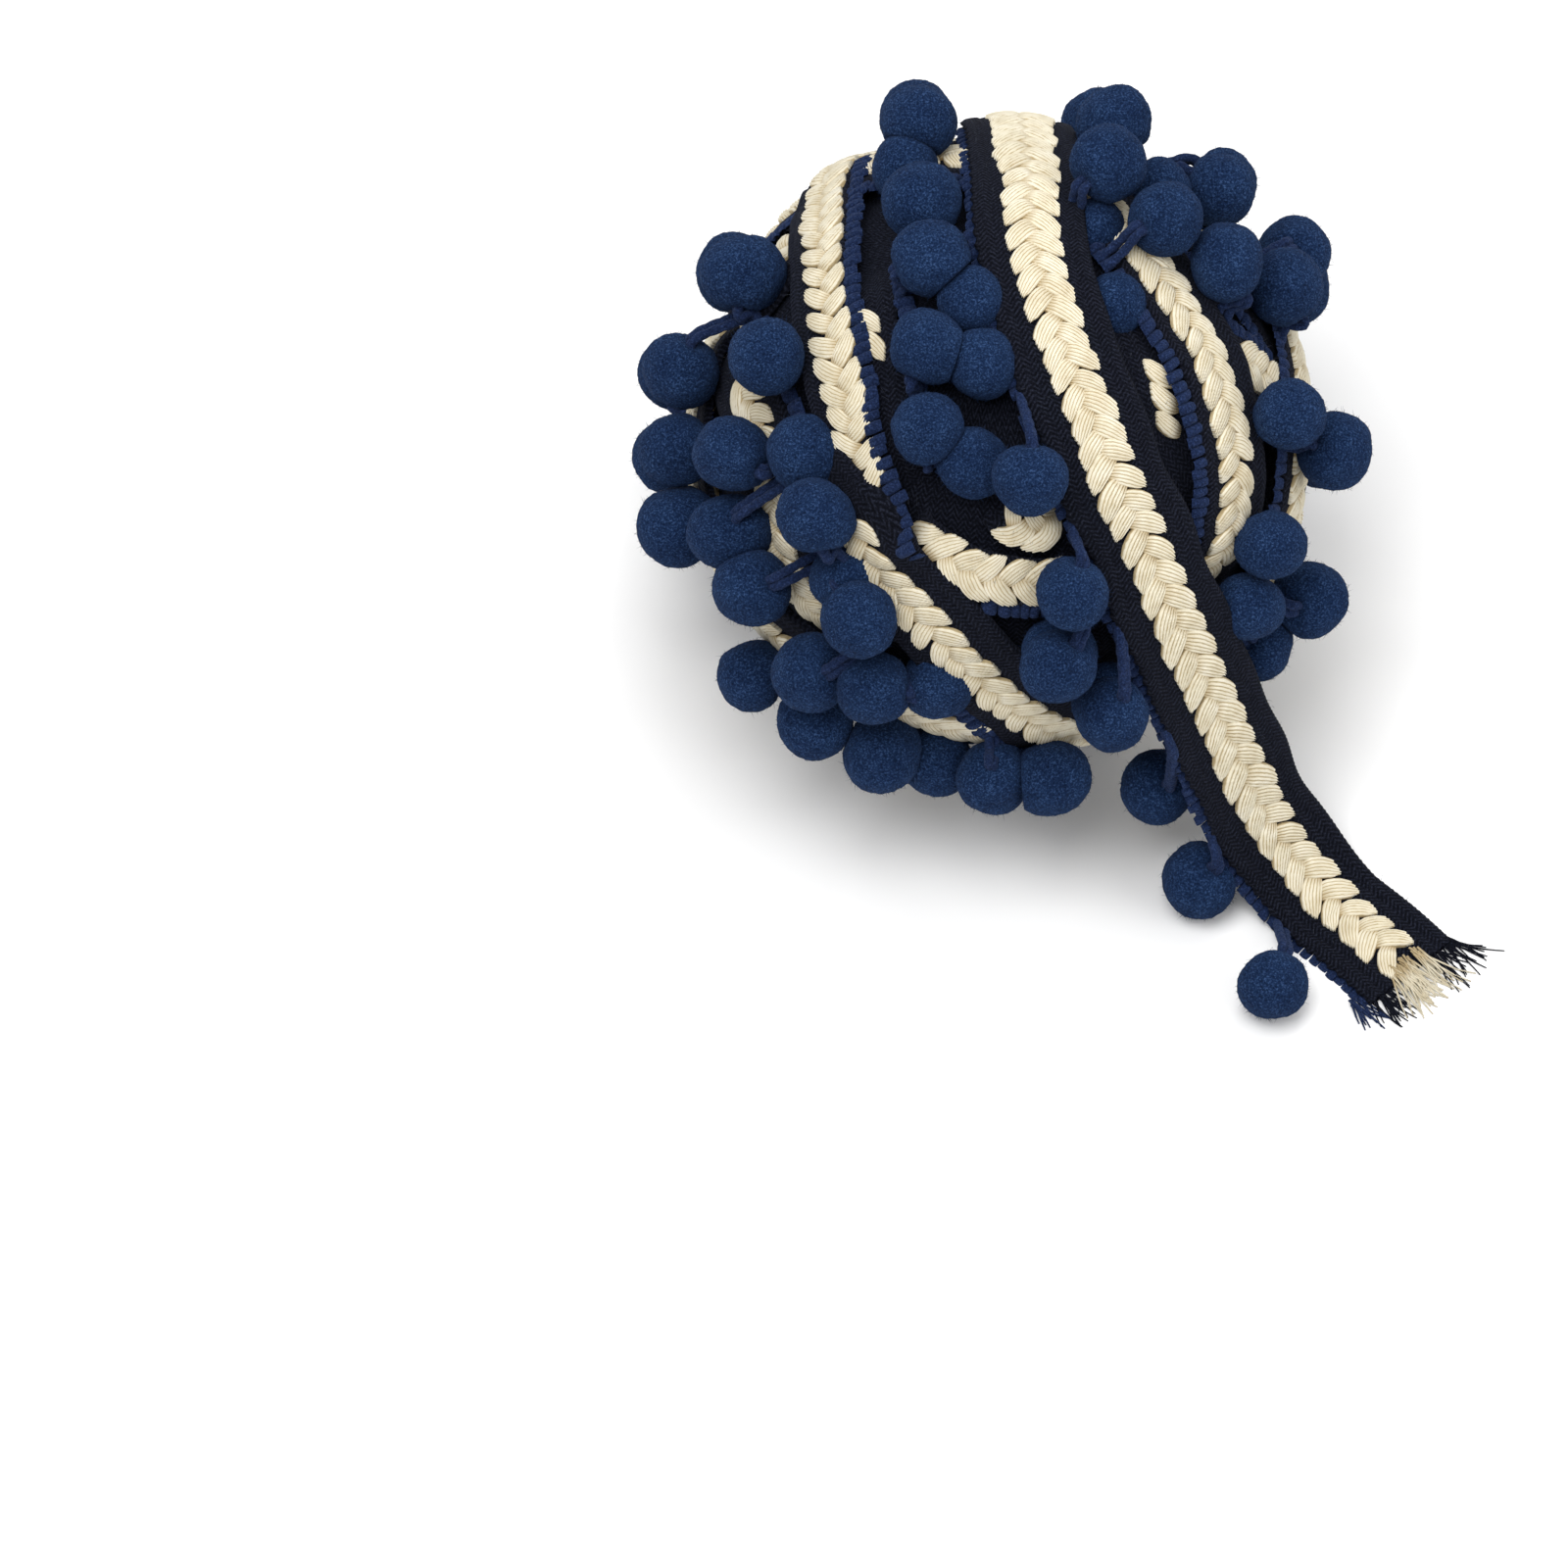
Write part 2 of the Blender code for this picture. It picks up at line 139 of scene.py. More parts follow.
# Pompoms squeezed in between those, which the CAD leaves to this script:
# (azimuth, elevation) in degrees, radius of their middle and their own, in mm.
TUCKED = (
    (123, 56, 63.0, 6.6), (41, 48, 63.0, 6.2), (34, 68, 58.5, 6.2), (235, 80, 62.5, 6.8),
    (260, 69, 62.5, 7.0), (350, 67, 57.5, 6.5), (261, 51, 62.0, 6.8), (217, 38, 62.0, 6.8),
    (237, 21, 60.5, 6.8), (318, 5, 66.0, 6.8), (281, 12, 62.0, 6.8), (289, -2, 64.5, 6.8),
    (258, 2, 61.0, 6.8), (258, -24, 65.5, 6.8),
)

# Loose end: its route is the CAD's.
LOOSE_RADIUS = 63.8 * MM
LOOSE_OVER = ((86, 36), (84, 50), (76, 70), (20, 84), (305, 73), (299, 56), (299, 43))
LOOSE_DOWN = ((28, -47, 92), (32, -52, 81.5), (36.5, -55, 68.5), (42, -57.5, 51),
              (47.5, -59.5, 33), (52.5, -61.5, 18), (59.5, -65.5, 6.5),
              (67.5, -72.5, 0.6), (75, -80, 0.5), (82, -87.5, 0.5))
FLAT_ROWS = 3                  # its last rows, which lie flat
# Pompoms of the loose end: (x, y, z) and where their loop leaves its edge, in mm.
# The first and the sixth lie off the CAD's.
LOOSE_POMPOMS = ((5.5, -45.0, 112.0, 87.5), (13.7, -59.4, 92.2, 113.9),
                 (11.0, -65.6, 76.5, 125.0), (22.0, -66.6, 61.0, 137.9),
                 (31.5, -58.0, 23.0, 167.9), (39.8, -70.0, 7.8, 199.9),
                 (54.0, -95.5, 7.8, 224.9))
# The hanging braid is pulled longer: (distance along the loose end, stretch).
PULLED = ((100, 126, 153, 184, 212, 230), (1.0, 1.08, 1.33, 1.43, 1.09, 1.0))

# ---- detail that only this script draws
FLOOR_GAP = 0.05 * MM          # nothing comes nearer to the table
TURN_STEP = 1.5 * MM           # stations along a turn
LOOSE_STEP = 0.5 * MM          # stations along the loose end
SEAT_SINK = 0.7 * MM           # a pompom is pressed this far into what it lies on
REST_ON = 0.45 * MM            # a turn's face above what it crosses
KNIT_START = 4.3 * MM          # first knitted column, from the braid's middle
KNIT_COLUMN = 3.1 * MM
KNIT_DEPTH = 0.42 * MM
STITCH = 1.05 * MM             # from one small V of the knit to the next
STITCH_SLANT = 2.6             # how steeply the sides of a V run
FRINGE_BUMP = 2.9 * MM         # stitches that show on the fringe edge
PLAIN_BUMP = 1.2 * MM          # and on the other
PLAIT_PITCH = 5.2 * MM         # between leaves on one side of the braid
RIBS = 6                       # threads side by side in a leaf
# A leaf's root, bend and tip as (across, along) in mm, then its half width and its
# height in mm by the share of its length.
LEAF_AXIS = ((-1.9, -2.8), (1.9, -2.2), (5.3, 2.8))
LEAF_WIDTH = ((0.0, 0.2, 0.4, 0.65, 0.85, 1.0), (1.2, 1.75, 2.1, 2.1, 1.75, 1.1))
LEAF_HEIGHT = ((0.0, 0.15, 0.40, 0.70, 0.92, 1.0), (0.2, 0.9, 1.6, 1.5, 1.1, 0.75))
LEAF_TIP = 0.5                 # where across a leaf, from -1 to 1, its tip lies
LEAF_UV = 16.0                 # between the UV marks of one leaf and the next
LEAF_RUN = 9.0                 # how far a leaf's own marks run
TURN_BRAID = 0.91              # share of its width that the plait has on the ball
BARE_END = 3.0 * MM            # no leaf starts this near a band's end
WIDE_START = 1.18              # the loose end's braid is wider on top of the ball
WIDE_LENGTH = 36.0 * MM
BLOCK_PITCH = 2.35 * MM        # between wraps of the corded edge
BLOCK_WIDTH = 4.2 * MM
LOOSE_EDGE = -0.6 * MM         # the corded edge's middle past the loose tape's edge
LOOSE_EDGE_DROP = -1.1 * MM
BOW_EASE = 20 * MM             # the loose tape flattens over this, off the ball
COVER_NEAR = 5.6 * MM          # a corded edge nearer the braid than this is lifted
COVER_EASE = 1.6 * MM          # over so much of its way in
COVER_LIFT = 3.0 * MM          # by so much, as the braid lies under it
CORD_RADIUS = 0.95 * MM
CORD_LAY = 3.0 * MM            # a cord's length for each of its twists
HAIR = 0.035 * MM              # half the thickness of a loose hair
TURN_HAIRS = 260
LOOSE_HAIRS = 1000
FIBRES = 360                   # on a pompom
FIBRE = 0.050 * MM             # half the thickness of one
NEAREST_ROOT = 9 * MM          # a loop starts at least this far from its pompom's middle
FURTHEST_ROOT = 22 * MM        # and a pompom further off than this gets none

# ---- camera and lights
VIEW_ELEVATION = math.radians(56.0)
PHOTO_SIZE = 1600
PHOTO_SCALE = 0.195 * MM       # one of the photograph's pixels, at the ball
BALL_PIXEL = (1020, 450)       # the ball's middle in the photograph
LENS = 600.0
SENSOR = 36.0
LIGHTS = (("key", (-0.25, -0.32, 1.28), 12.0), ("fill", (0.90, -0.50, 0.70), 3.5),
          ("top", (0.10, 0.60, 1.10), 4.0))     # name, place in m, power in W
LIGHT_SIZE = 0.9
SKY = 0.62                     # strength of the white all round


# ---- small geometry helpers
def unit(vectors):
    return vectors / np.linalg.norm(vectors, axis=-1, keepdims=True)


def directions(places):
    """Unit vectors of (azimuth, elevation) rows in degrees."""
    azimuth, elevation = np.radians(np.asarray(places, float)[:, :2].T)
    level = np.cos(elevation)
    return np.stack([level * np.cos(azimuth), level * np.sin(azimuth), np.sin(elevation)], -1)


def smooth_route(knots, step):
    """Points on a smooth curve through the knots, about one step apart."""
    knots = np.asarray(knots, float)
    ends = np.vstack([2 * knots[0] - knots[1], knots, 2 * knots[-1] - knots[-2]])
    route = []
    for before, start, stop, after in zip(ends, ends[1:], ends[2:], ends[3:]):
        pieces = max(1, round(np.linalg.norm(stop - start) / step))
        t = (np.arange(pieces) / pieces)[:, None]
        bend = (2 * before - 5 * start + 4 * stop - after) * t ** 2
        twist = (3 * start - before - 3 * stop + after) * t ** 3
        route.append(start + ((stop - before) * t + bend + twist) / 2)
    route.append(knots[-1:])
    return np.vstack(route)


def lengths(route):
    steps = np.linalg.norm(np.diff(route, axis=0), axis=1)
    return np.concatenate([[0.0], np.cumsum(steps)])


def read_at(at, along, values):
    """Vectors read off a route at some distances along it."""
    return np.stack([np.interp(at, along, values[:, k]) for k in range(3)], -1)


def evened(route, step):
    """The same route with its points exactly evenly spaced."""
    along = lengths(route)
    count = max(2, round(along[-1] / step) + 1)
    return read_at(np.linspace(0.0, along[-1], count), along, route)


def blurred(values, reach, axis=0):
    """Running mean over 2 * reach + 1 entries, its ends held."""
    pad = [(0, 0)] * values.ndim
    pad[axis] = (reach, reach)
    padded = np.pad(values, pad, mode="edge")
    count = values.shape[axis]
    windows = [np.take(padded, range(k, k + count), axis) for k in range(2 * reach + 1)]
    return sum(windows) / len(windows)


def above_floor(points, least=FLOOR_GAP):
    """The same points, none of them lower than least."""
    points[..., 2] = np.maximum(points[..., 2], least)
    return points


def waves(points, size, count, seed):
    """Smooth noise of about unit height whose lumps are of the given size."""
    draw = np.random.default_rng(seed)
    turns = unit(draw.normal(size=(count, points.shape[-1]))) * draw.uniform(0.6, 1.4, (count, 1))
    phases = draw.uniform(0.0, 2 * math.pi, count)
    return np.sin(points @ turns.T * (math.pi / size) + phases).sum(-1) / math.sqrt(count)


def vary(spread, like):
    """Random differences in the shape of another array."""
    return rng.normal(0.0, spread, like.shape)


def grid_faces(rows, columns, closed=False):
    """Quads of a grid of points; closed joins its last column to its first."""
    wide = columns if closed else columns - 1
    near = np.arange(rows - 1)[:, None] * columns
    left = np.arange(wide)[None, :]
    right = (left + 1) % columns
    quads = np.stack([near + left, near + right, near + columns + right,
                      near + columns + left], -1)
    return quads.reshape(-1, 4)


def linked(name, data):
    """A new object in the scene."""
    thing = bpy.data.objects.new(name, data)
    bpy.context.scene.collection.objects.link(thing)
    return thing


class Pile:
    """Points and faces gathered for one piece."""

    def __init__(self):
        self.points = []
        self.marks = []
        self.faces = []
        self.kinds = []
        self.count = 0

    def add(self, points, faces, marks=None, kind=0, flip=False):
        """Adds points (n, 3), faces (m, 3 or 4), UV marks in mm and a material."""
        points = np.asarray(points, float).reshape(-1, 3)
        marks = np.zeros((len(points), 2)) if marks is None else marks.reshape(-1, 2)
        faces = faces[:, ::-1] if flip else faces
        self.points.append(points)
        self.marks.append(marks)
        self.faces.append(faces + self.count)
        self.kinds.append(np.full(len(faces), kind))
        self.count += len(points)

    def add_copies(self, points, faces, marks=None, kind=0, flip=False):
        """Adds many copies of one patch: points are (copies, ..., 3)."""
        copies = len(points)
        size = points[0].size // 3
        shifts = (np.arange(copies) * size)[:, None, None]
        every = (faces[None] + shifts).reshape(-1, faces.shape[1])
        self.add(points, every, marks, kind, flip)

    def build(self, name, materials):
        mesh = bpy.data.meshes.new(name)
        points = np.vstack(self.points)
        marks = np.vstack(self.marks)
        corners = np.concatenate([faces.ravel() for faces in self.faces])
        sizes = np.concatenate([np.full(len(f), f.shape[1]) for f in self.faces])
        mesh.vertices.add(len(points))
        mesh.vertices.foreach_set("co", points.ravel())
        mesh.loops.add(len(corners))
        mesh.loops.foreach_set("vertex_index", corners)
        mesh.polygons.add(len(sizes))
        mesh.polygons.foreach_set("loop_start", np.cumsum(sizes) - sizes)
        mesh.polygons.foreach_set("material_index", np.concatenate(self.kinds))
        mesh.polygons.foreach_set("use_smooth", np.ones(len(sizes), bool))
        layer = mesh.uv_layers.new(name="cloth")
        layer.data.foreach_set("uv", marks[corners].ravel())
        mesh.update(calc_edges=True)
        mesh.validate()
        for material in materials:
            mesh.materials.append(material)
        piece = linked(name, mesh)
        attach(piece, "root")
        return piece


# ---- materials
class Look:
    """A cloth material while its nodes are wired; across and along are its UV, in mm."""

    def __init__(self, name, roughness, specular, sheen, sheen_tint=(1.0, 1.0, 1.0)):
        self.material = bpy.data.materials.new(name)
        self.material.use_nodes = True
        self.tree = self.material.node_tree
        self.shader = self.tree.nodes["Principled BSDF"]
        self.fill(self.shader, {"Roughness": roughness, "Specular IOR Level": specular,
                                "Sheen Weight": sheen, "Sheen Roughness": 0.5,
                                "Sheen Tint": sheen_tint})
        self.spot = self.node("TexCoord", {}).outputs["Object"]
        uv_map = self.node("UVMap", {})
        uv_map.uv_map = "cloth"
        split = self.node("SeparateXYZ", {0: uv_map.outputs["UV"]})
        self.across, self.along = split.outputs[0], split.outputs[1]

    def fill(self, node, values):
        """Links a node's inputs to other sockets, or sets their values."""
        for key, value in values.items():
            socket = node.inputs[key]
            if isinstance(value, bpy.types.NodeSocket):
                self.tree.links.new(value, socket)
            elif isinstance(value, tuple):
                socket.default_value = (*value, 1.0)
            else:
                socket.default_value = value

    def node(self, kind, values):
        node = self.tree.nodes.new("ShaderNode" + kind)
        self.fill(node, values)
        return node

    def calc(self, operation, first, second=0.0):
        node = self.node("Math", {0: first, 1: second})
        node.operation = operation
        return node.outputs[0]

    def wave(self, operation, turns):
        """A sine or cosine of a number of whole turns."""
        return self.calc(operation, self.calc("MULTIPLY", turns, 2 * math.pi))

    def noise(self, scale, detail, roughness=0.5):
        values = {"Vector": self.spot, "Scale": scale, "Detail": detail, "Roughness": roughness}
        return self.node("TexNoise", values).outputs["Fac"]

    def ramp(self, factor, *stops):
        """Colours by factor, from stops of (position, colour)."""
        node = self.node("ValToRGB", {"Fac": factor})
        while len(node.color_ramp.elements) < len(stops):
            node.color_ramp.elements.new(0.5)
        for element, (position, colour) in zip(node.color_ramp.elements, stops):
            element.position = position
            element.color = (*colour, 1.0)
        return node.outputs["Color"]

    def mixed(self, factor, first, second, blend="MIX"):
        node = self.tree.nodes.new("ShaderNodeMix")
        node.data_type = "RGBA"
        node.blend_type = blend
        self.fill(node, {"Factor": factor, 6: first, 7: second})
        return node.outputs[2]

    def bumped(self, height, distance, strength=1.0, under=None):
        node = self.node("Bump", {"Strength": strength, "Distance": distance, "Height": height})
        if under is not None:
            self.fill(node, {"Normal": under})
        return node.outputs["Normal"]

    def finish(self, colour, normal=None):
        self.fill(self.shader, {"Base Color": colour})
        if normal is not None:
            self.fill(self.shader, {"Normal": normal})
        return self.material


def navy_tape_material():
    """Near-black navy tape, knitted in columns of small Vs, with pale lint in it; painted shade in
    the knit's hollows, painted light on its crests.
    """
    look = Look("navy_knit", 0.95, 0.06, 0.03, (0.55, 0.62, 0.9))
    beside = look.calc("SUBTRACT", look.calc("ABSOLUTE", look.across), KNIT_START / MM)
    fold = look.calc("PINGPONG", look.calc("DIVIDE", beside, KNIT_COLUMN / MM), 0.5)
    stitches = look.calc("ADD", look.calc("DIVIDE", look.along, STITCH / MM),
                         look.calc("MULTIPLY", fold, STITCH_SLANT))
    height = look.calc("ADD", look.calc("MULTIPLY", look.wave("SINE", stitches), 0.14),
                       look.calc("MULTIPLY", look.noise(2300.0, 5.0, 0.65), 1.3))
    # Painted shade and light: the colour follows the relief's height, darker in the stitches'
    # hollows and the fuzz's dips, lighter on their crests.
    painted_relief_shade = look.ramp(height, (0.38, (0.0010, 0.0012, 0.0024)), (0.66, (0.0044, 0.0052, 0.0098)),
                      (0.92, (0.0180, 0.0210, 0.0350)))
    lint = look.ramp(look.noise(3600.0, 2.0, 0.7), (0.72, (0.0, 0.0, 0.0)),
                     (0.80, (1.0, 1.0, 1.0)))
    return look.finish(look.mixed(lint, painted_relief_shade, (0.070, 0.080, 0.115)),
                       look.bumped(height, 0.30 * MM))


def lint_material():
    """Greyish hairs on the navy tape."""
    look = Look("grey_lint", 0.9, 0.1, 0.0)
    return look.finish(look.ramp(look.noise(500.0, 2.0), (0.40, (0.012, 0.014, 0.022)),
                                 (0.65, (0.075, 0.082, 0.105))))


def ecru_braid_material():
    """Unbleached cotton threads, each leaf a little different; painted shade darkens the grooves
    between threads and each leaf's root, where another leaf lies over it.
    """
    look = Look("ecru_cotton", 0.85, 0.15, 0.10, (1.0, 0.95, 0.85))
    tone = look.ramp(look.noise(260.0, 2.0), (0.25, (0.62, 0.55, 0.40)),
                     (0.50, (0.72, 0.66, 0.51)), (0.75, (0.78, 0.73, 0.60)))
    stray = look.calc("MULTIPLY", look.noise(700.0, 2.0), 0.5)
    thread = look.calc("ADD", look.across, look.calc("SUBTRACT", stray, 0.25))
    wave = look.wave("COSINE", thread)
    crest = look.calc("SUBTRACT", 0.5, look.calc("MULTIPLY", wave, 0.5))
    # Painted shade: the colour darkens in the grooves between a leaf's threads.
    dark = look.ramp(crest, (0.0, (0.62, 0.53, 0.38)), (0.35, (1.0, 1.0, 1.0)))
    # Painted shade: each leaf darkens towards its root, where another leaf lies over it.
    root = look.calc("FRACT", look.calc("DIVIDE", look.along, LEAF_UV))
    painted_root_shade = look.ramp(root, (0.06, (0.66, 0.57, 0.43)), (0.22, (1.0, 1.0, 1.0)))
    threads = look.mixed(1.0, tone, dark, "MULTIPLY")
    slant = look.calc("ADD", look.calc("MULTIPLY", look.across, 1.4),
                      look.calc("MULTIPLY", look.along, 1.6))
    twist = look.calc("MULTIPLY", look.wave("SINE", slant), 0.25)
    height = look.calc("ADD", twist, look.noise(4200.0, 3.0))
    return look.finish(look.mixed(1.0, threads, painted_root_shade, "MULTIPLY"),
                       look.bumped(height, 0.08 * MM, 0.8))


def felt_material():
    """Dark blue felted wool, mottled by its fibres."""
    look = Look("blue_felt", 1.0, 0.05, 0.05, (0.30, 0.48, 0.95))
    fibre = look.noise(2400.0, 5.0, 0.72)
    tone = look.ramp(fibre, (0.34, (0.0020, 0.0060, 0.020)), (0.52, (0.0086, 0.0226, 0.067)),
                     (0.69, (0.044, 0.090, 0.212)))
    wear = look.ramp(look.noise(180.0, 2.0), (0.3, (0.78, 0.79, 0.82)), (0.7, (1.18, 1.16, 1.12)))
    lumps = look.bumped(look.noise(900.0, 3.0), 0.35 * MM, 0.5)
    return look.finish(look.mixed(1.0, tone, wear, "MULTIPLY"),
                       look.bumped(fibre, 0.30 * MM, 1.0, lumps))


def cord_material():
    """Royal blue yarn of the corded edge and the loops."""
    look = Look("blue_yarn", 0.95, 0.08, 0.10, (0.35, 0.5, 0.95))
    fibre = look.noise(2600.0, 5.0, 0.65)
    tone = look.ramp(fibre, (0.32, (0.0030, 0.0065, 0.023)), (0.53, (0.0105, 0.0205, 0.062)),
                     (0.72, (0.034, 0.058, 0.150)))
    strands = look.bumped(look.noise(750.0, 2.0), 0.9 * MM, 0.8)
    return look.finish(tone, look.bumped(fibre, 0.26 * MM, 1.0, strands))


def floor_material():
    look = Look("pale_floor", 0.75, 0.3, 0.0)
    return look.finish(look.ramp(look.noise(30.0, 2.0), (0.3, (0.90, 0.90, 0.90)),
                                 (0.7, (0.92, 0.92, 0.92))))


# ---- bands: a turn on the ball, and the loose end
def outermost(rays, trees):
    """Radius of the outermost surface met along each ray from the ball's centre."""
    far = 2 * CORE_RADIUS
    middle = Vector(CENTRE)
    found = np.zeros(len(rays))
    for k, ray in enumerate(rays):
        way = Vector(ray)
        for tree in trees:
            distance = tree.ray_cast(middle + way * far, -way, far)[3]
            if distance is not None:
                found[k] = max(found[k], far - distance)
    return found


class Turn:
    """One turn of the winding: a band wrapped on the ball."""

    def __init__(self, name, radius_mm, fringe_side, rim_mm, far_mm, places):
        self.radius = radius_mm * MM
        self.rim = rim_mm * MM
        self.far = far_mm * MM
        self.mirrored = fringe_side < 0
        self.edge = self.rim + HEADER_WIDTH / 2 - 0.2 * MM
        self.fold = np.array(FOLDED.get(name, ((0.0, self.edge / MM),))) * MM
        self.tucked = TUCKED_EDGES.get(name, 0.0) * MM
        self.bare = BARE_STARTS.get(name, BARE_END / MM) * MM
        knots = directions(places) * self.radius
        self.rays = unit(evened(self.radius * unit(smooth_route(knots, TURN_STEP)), TURN_STEP))
        self.along = lengths(self.rays * self.radius)
        self.length = self.along[-1]
        ahead = np.gradient(self.rays, axis=0)
        self.sides = unit(np.cross(ahead, self.rays)) * fringe_side
        from_end = np.minimum(self.along, self.length - self.along)
        dive = STEEP_ENDS.get(name, DIVE_LENGTH / MM) * MM
        ease = np.clip(from_end / dive, 0.0, 1.0)
        self.ease = ease * ease * (3 - 2 * ease)
        self.face = TUCK_RADIUS + (self.radius - TUCK_RADIUS) * self.ease
        self.lanes = np.linspace(-self.far - 1.0 * MM, self.rim + 5.0 * MM, 20)
        self.sag = np.zeros((len(self.along), len(self.lanes)))

    def ray(self, along, across):
        up = read_at(along, self.along, self.rays)
        side = read_at(along, self.along, self.sides)
        turn = np.asarray(across / self.radius)[..., None]
        return unit(up * np.cos(turn) + side * np.sin(turn))

    def drape(self, trees):
        """Lifts the band wherever it crosses the turns beneath it."""
        along, across = np.meshgrid(self.along, self.lanes, indexing="ij")
        rays = self.ray(along, across)
        under = outermost(rays.reshape(-1, 3), trees).reshape(along.shape)
        need = np.clip(under + REST_ON - self.face[:, None], 0.0, None)
        need = np.maximum.reduce([need, np.roll(need, 1, 0), np.roll(need, -1, 0)])
        need = blurred(blurred(blurred(need, 2), 1, 1), 1)
        self.sag = need * self.ease[:, None]

    def lift_at(self, along, across):
        """The drape, read between its stations."""
        i = np.clip(along / self.length * (len(self.along) - 1), 0, len(self.along) - 1.001)
        span = self.lanes[-1] - self.lanes[0]
        j = np.clip((across - self.lanes[0]) / span * (len(self.lanes) - 1), 0,
                    len(self.lanes) - 1.001)
        low_i, low_j = i.astype(int), j.astype(int)
        part_i, part_j = i - low_i, j - low_j
        near, beyond = (self.sag[row, low_j] * (1 - part_j) + self.sag[row, low_j + 1] * part_j
                        for row in (low_i, low_i + 1))
        return near * (1 - part_i) + beyond * part_i

    def place(self, along, across, lift):
        """Points at distances along and across the band and above its face."""
        radius = np.interp(along, self.along, self.face) + self.lift_at(along, across) + lift
        return above_floor(CENTRE + self.ray(along, across) * radius[..., None])

    def width(self, along):
        """Share of its full width that the braid has along the band."""
        return np.full_like(along, TURN_BRAID)

    def pull(self, along):
        """How far the braid is stretched lengthways."""
        return np.ones_like(along)

    def edge_at(self, along):
        """Where the middle of the corded edge runs."""
        return np.interp(along, self.fold[:, 0], self.fold[:, 1])

    def raised(self, along):
        """How far a folded edge is lifted by the braid that it covers."""
        return COVER_LIFT * np.clip((COVER_NEAR - self.edge_at(along)) / COVER_EASE, 0.0, 1.0)

    def shown(self, along, across, lift, trees):
        """Which points aren't buried under another band."""
        points = self.place(along, across, lift)
        own = np.linalg.norm(points - CENTRE, axis=-1)
        return outermost(unit(points - CENTRE), trees) < own + 0.2 * MM

    def tree(self):
        """The band's plain upper surface, braid and all, to drape others over."""
        rib = BRAID_WIDTH / 2
        ledge = self.rim + HEADER_WIDTH
        profile = ((-self.far, -TAPE_THICK), (-self.far, 0.0), (-rib, 0.0),
                   (-0.7 * rib, BRAID_THICK), (0.7 * rib, BRAID_THICK), (rib, 0.0),
                   (self.rim, 0.0), (ledge, -0.3 * TAPE_THICK), (ledge, -TAPE_THICK))
        across, lift = np.array(profile).T
        along, across = np.meshgrid(self.along, across, indexing="ij")
        across = np.minimum(across, self.edge_at(along) + HEADER_WIDTH / 2)
        points = self.place(along, across, lift)
        faces = grid_faces(len(self.along), len(profile))
        return BVHTree.FromPolygons([Vector(p) for p in points.reshape(-1, 3)], faces.tolist())


class LooseEnd:
    """The last length of trim: over the ball, down its front, onto the table."""

    mirrored = False
    tucked = 0.0
    bare = BARE_END

    def __init__(self):
        over = CENTRE + directions(LOOSE_OVER) * LOOSE_RADIUS
        down = np.array(LOOSE_DOWN) * MM
        route = evened(smooth_route(np.vstack([over, down]), LOOSE_STEP), LOOSE_STEP)
        self.route = above_floor(route, TAPE_THICK / 2)
        self.along = lengths(route)
        self.length = self.along[-1]
        aheads = unit(np.gradient(route, axis=0))
        leave = np.argmin(np.linalg.norm(route - down[0], axis=1))
        land = np.argmin(np.linalg.norm(route - down[-FLAT_ROWS], axis=1))
        side_leave = unit(np.cross(aheads[leave], route[leave] - CENTRE))
        side_land = unit(np.cross(aheads[-1], (0.0, 0.0, 1.0)))
        share = np.clip((np.arange(len(route)) - leave) / (land - leave), 0.0, 1.0)[:, None]
        sides = side_leave * (1 - share) + side_land * share
        ups = unit(np.cross(sides, aheads))
        ups[:leave + 1] = unit(route[:leave + 1] - CENTRE)
        ups[land:] = (0.0, 0.0, 1.0)
        ups = unit(blurred(ups, 6))
        self.sides = unit(np.cross(aheads, ups))
        self.ups = unit(np.cross(self.sides, aheads))
        left = np.clip((self.along - self.along[leave]) / BOW_EASE, 0.0, 1.0)
        self.bow = (1 - left) / (2 * LOOSE_RADIUS)

    def place(self, along, across, lift):
        point = read_at(along, self.along, self.route)
        side = read_at(along, self.along, self.sides)
        up = read_at(along, self.along, self.ups)
        drop = np.interp(along, self.along, self.bow) * across ** 2
        point = point + side * np.asarray(across)[..., None]
        return above_floor(point + up * (lift - drop)[..., None])

    def width(self, along):
        return np.interp(along, (WIDE_LENGTH, 1.5 * WIDE_LENGTH), (WIDE_START, 1.0))

    def pull(self, along):
        return np.interp(along / MM, *PULLED)

    def edge_at(self, along):
        return np.full_like(along, HALF + LOOSE_EDGE)

    def raised(self, along):
        return np.zeros_like(along)


# ---- the trim's own parts, drawn on a band
def knit_relief(across):
    """Height of the two knitted columns in each border of the tape."""
    beside = np.clip(np.abs(across) - KNIT_START, 0.0, None) / KNIT_COLUMN
    wave = np.abs(np.sin(math.pi * beside)) ** 0.6
    return KNIT_DEPTH * (wave - 0.4) * np.minimum(1.0, 4 * beside)


def edge_bumps(across, along, edge):
    """Sideways swell of the stitches: coarse on the fringe edge, fine on the other."""
    coarse = np.sin(2 * math.pi * along / FRINGE_BUMP) * 0.30 * MM
    fine = np.sin(2 * math.pi * along / PLAIN_BUMP) * 0.10 * MM
    return edge * np.where(across > 0, coarse, -fine)


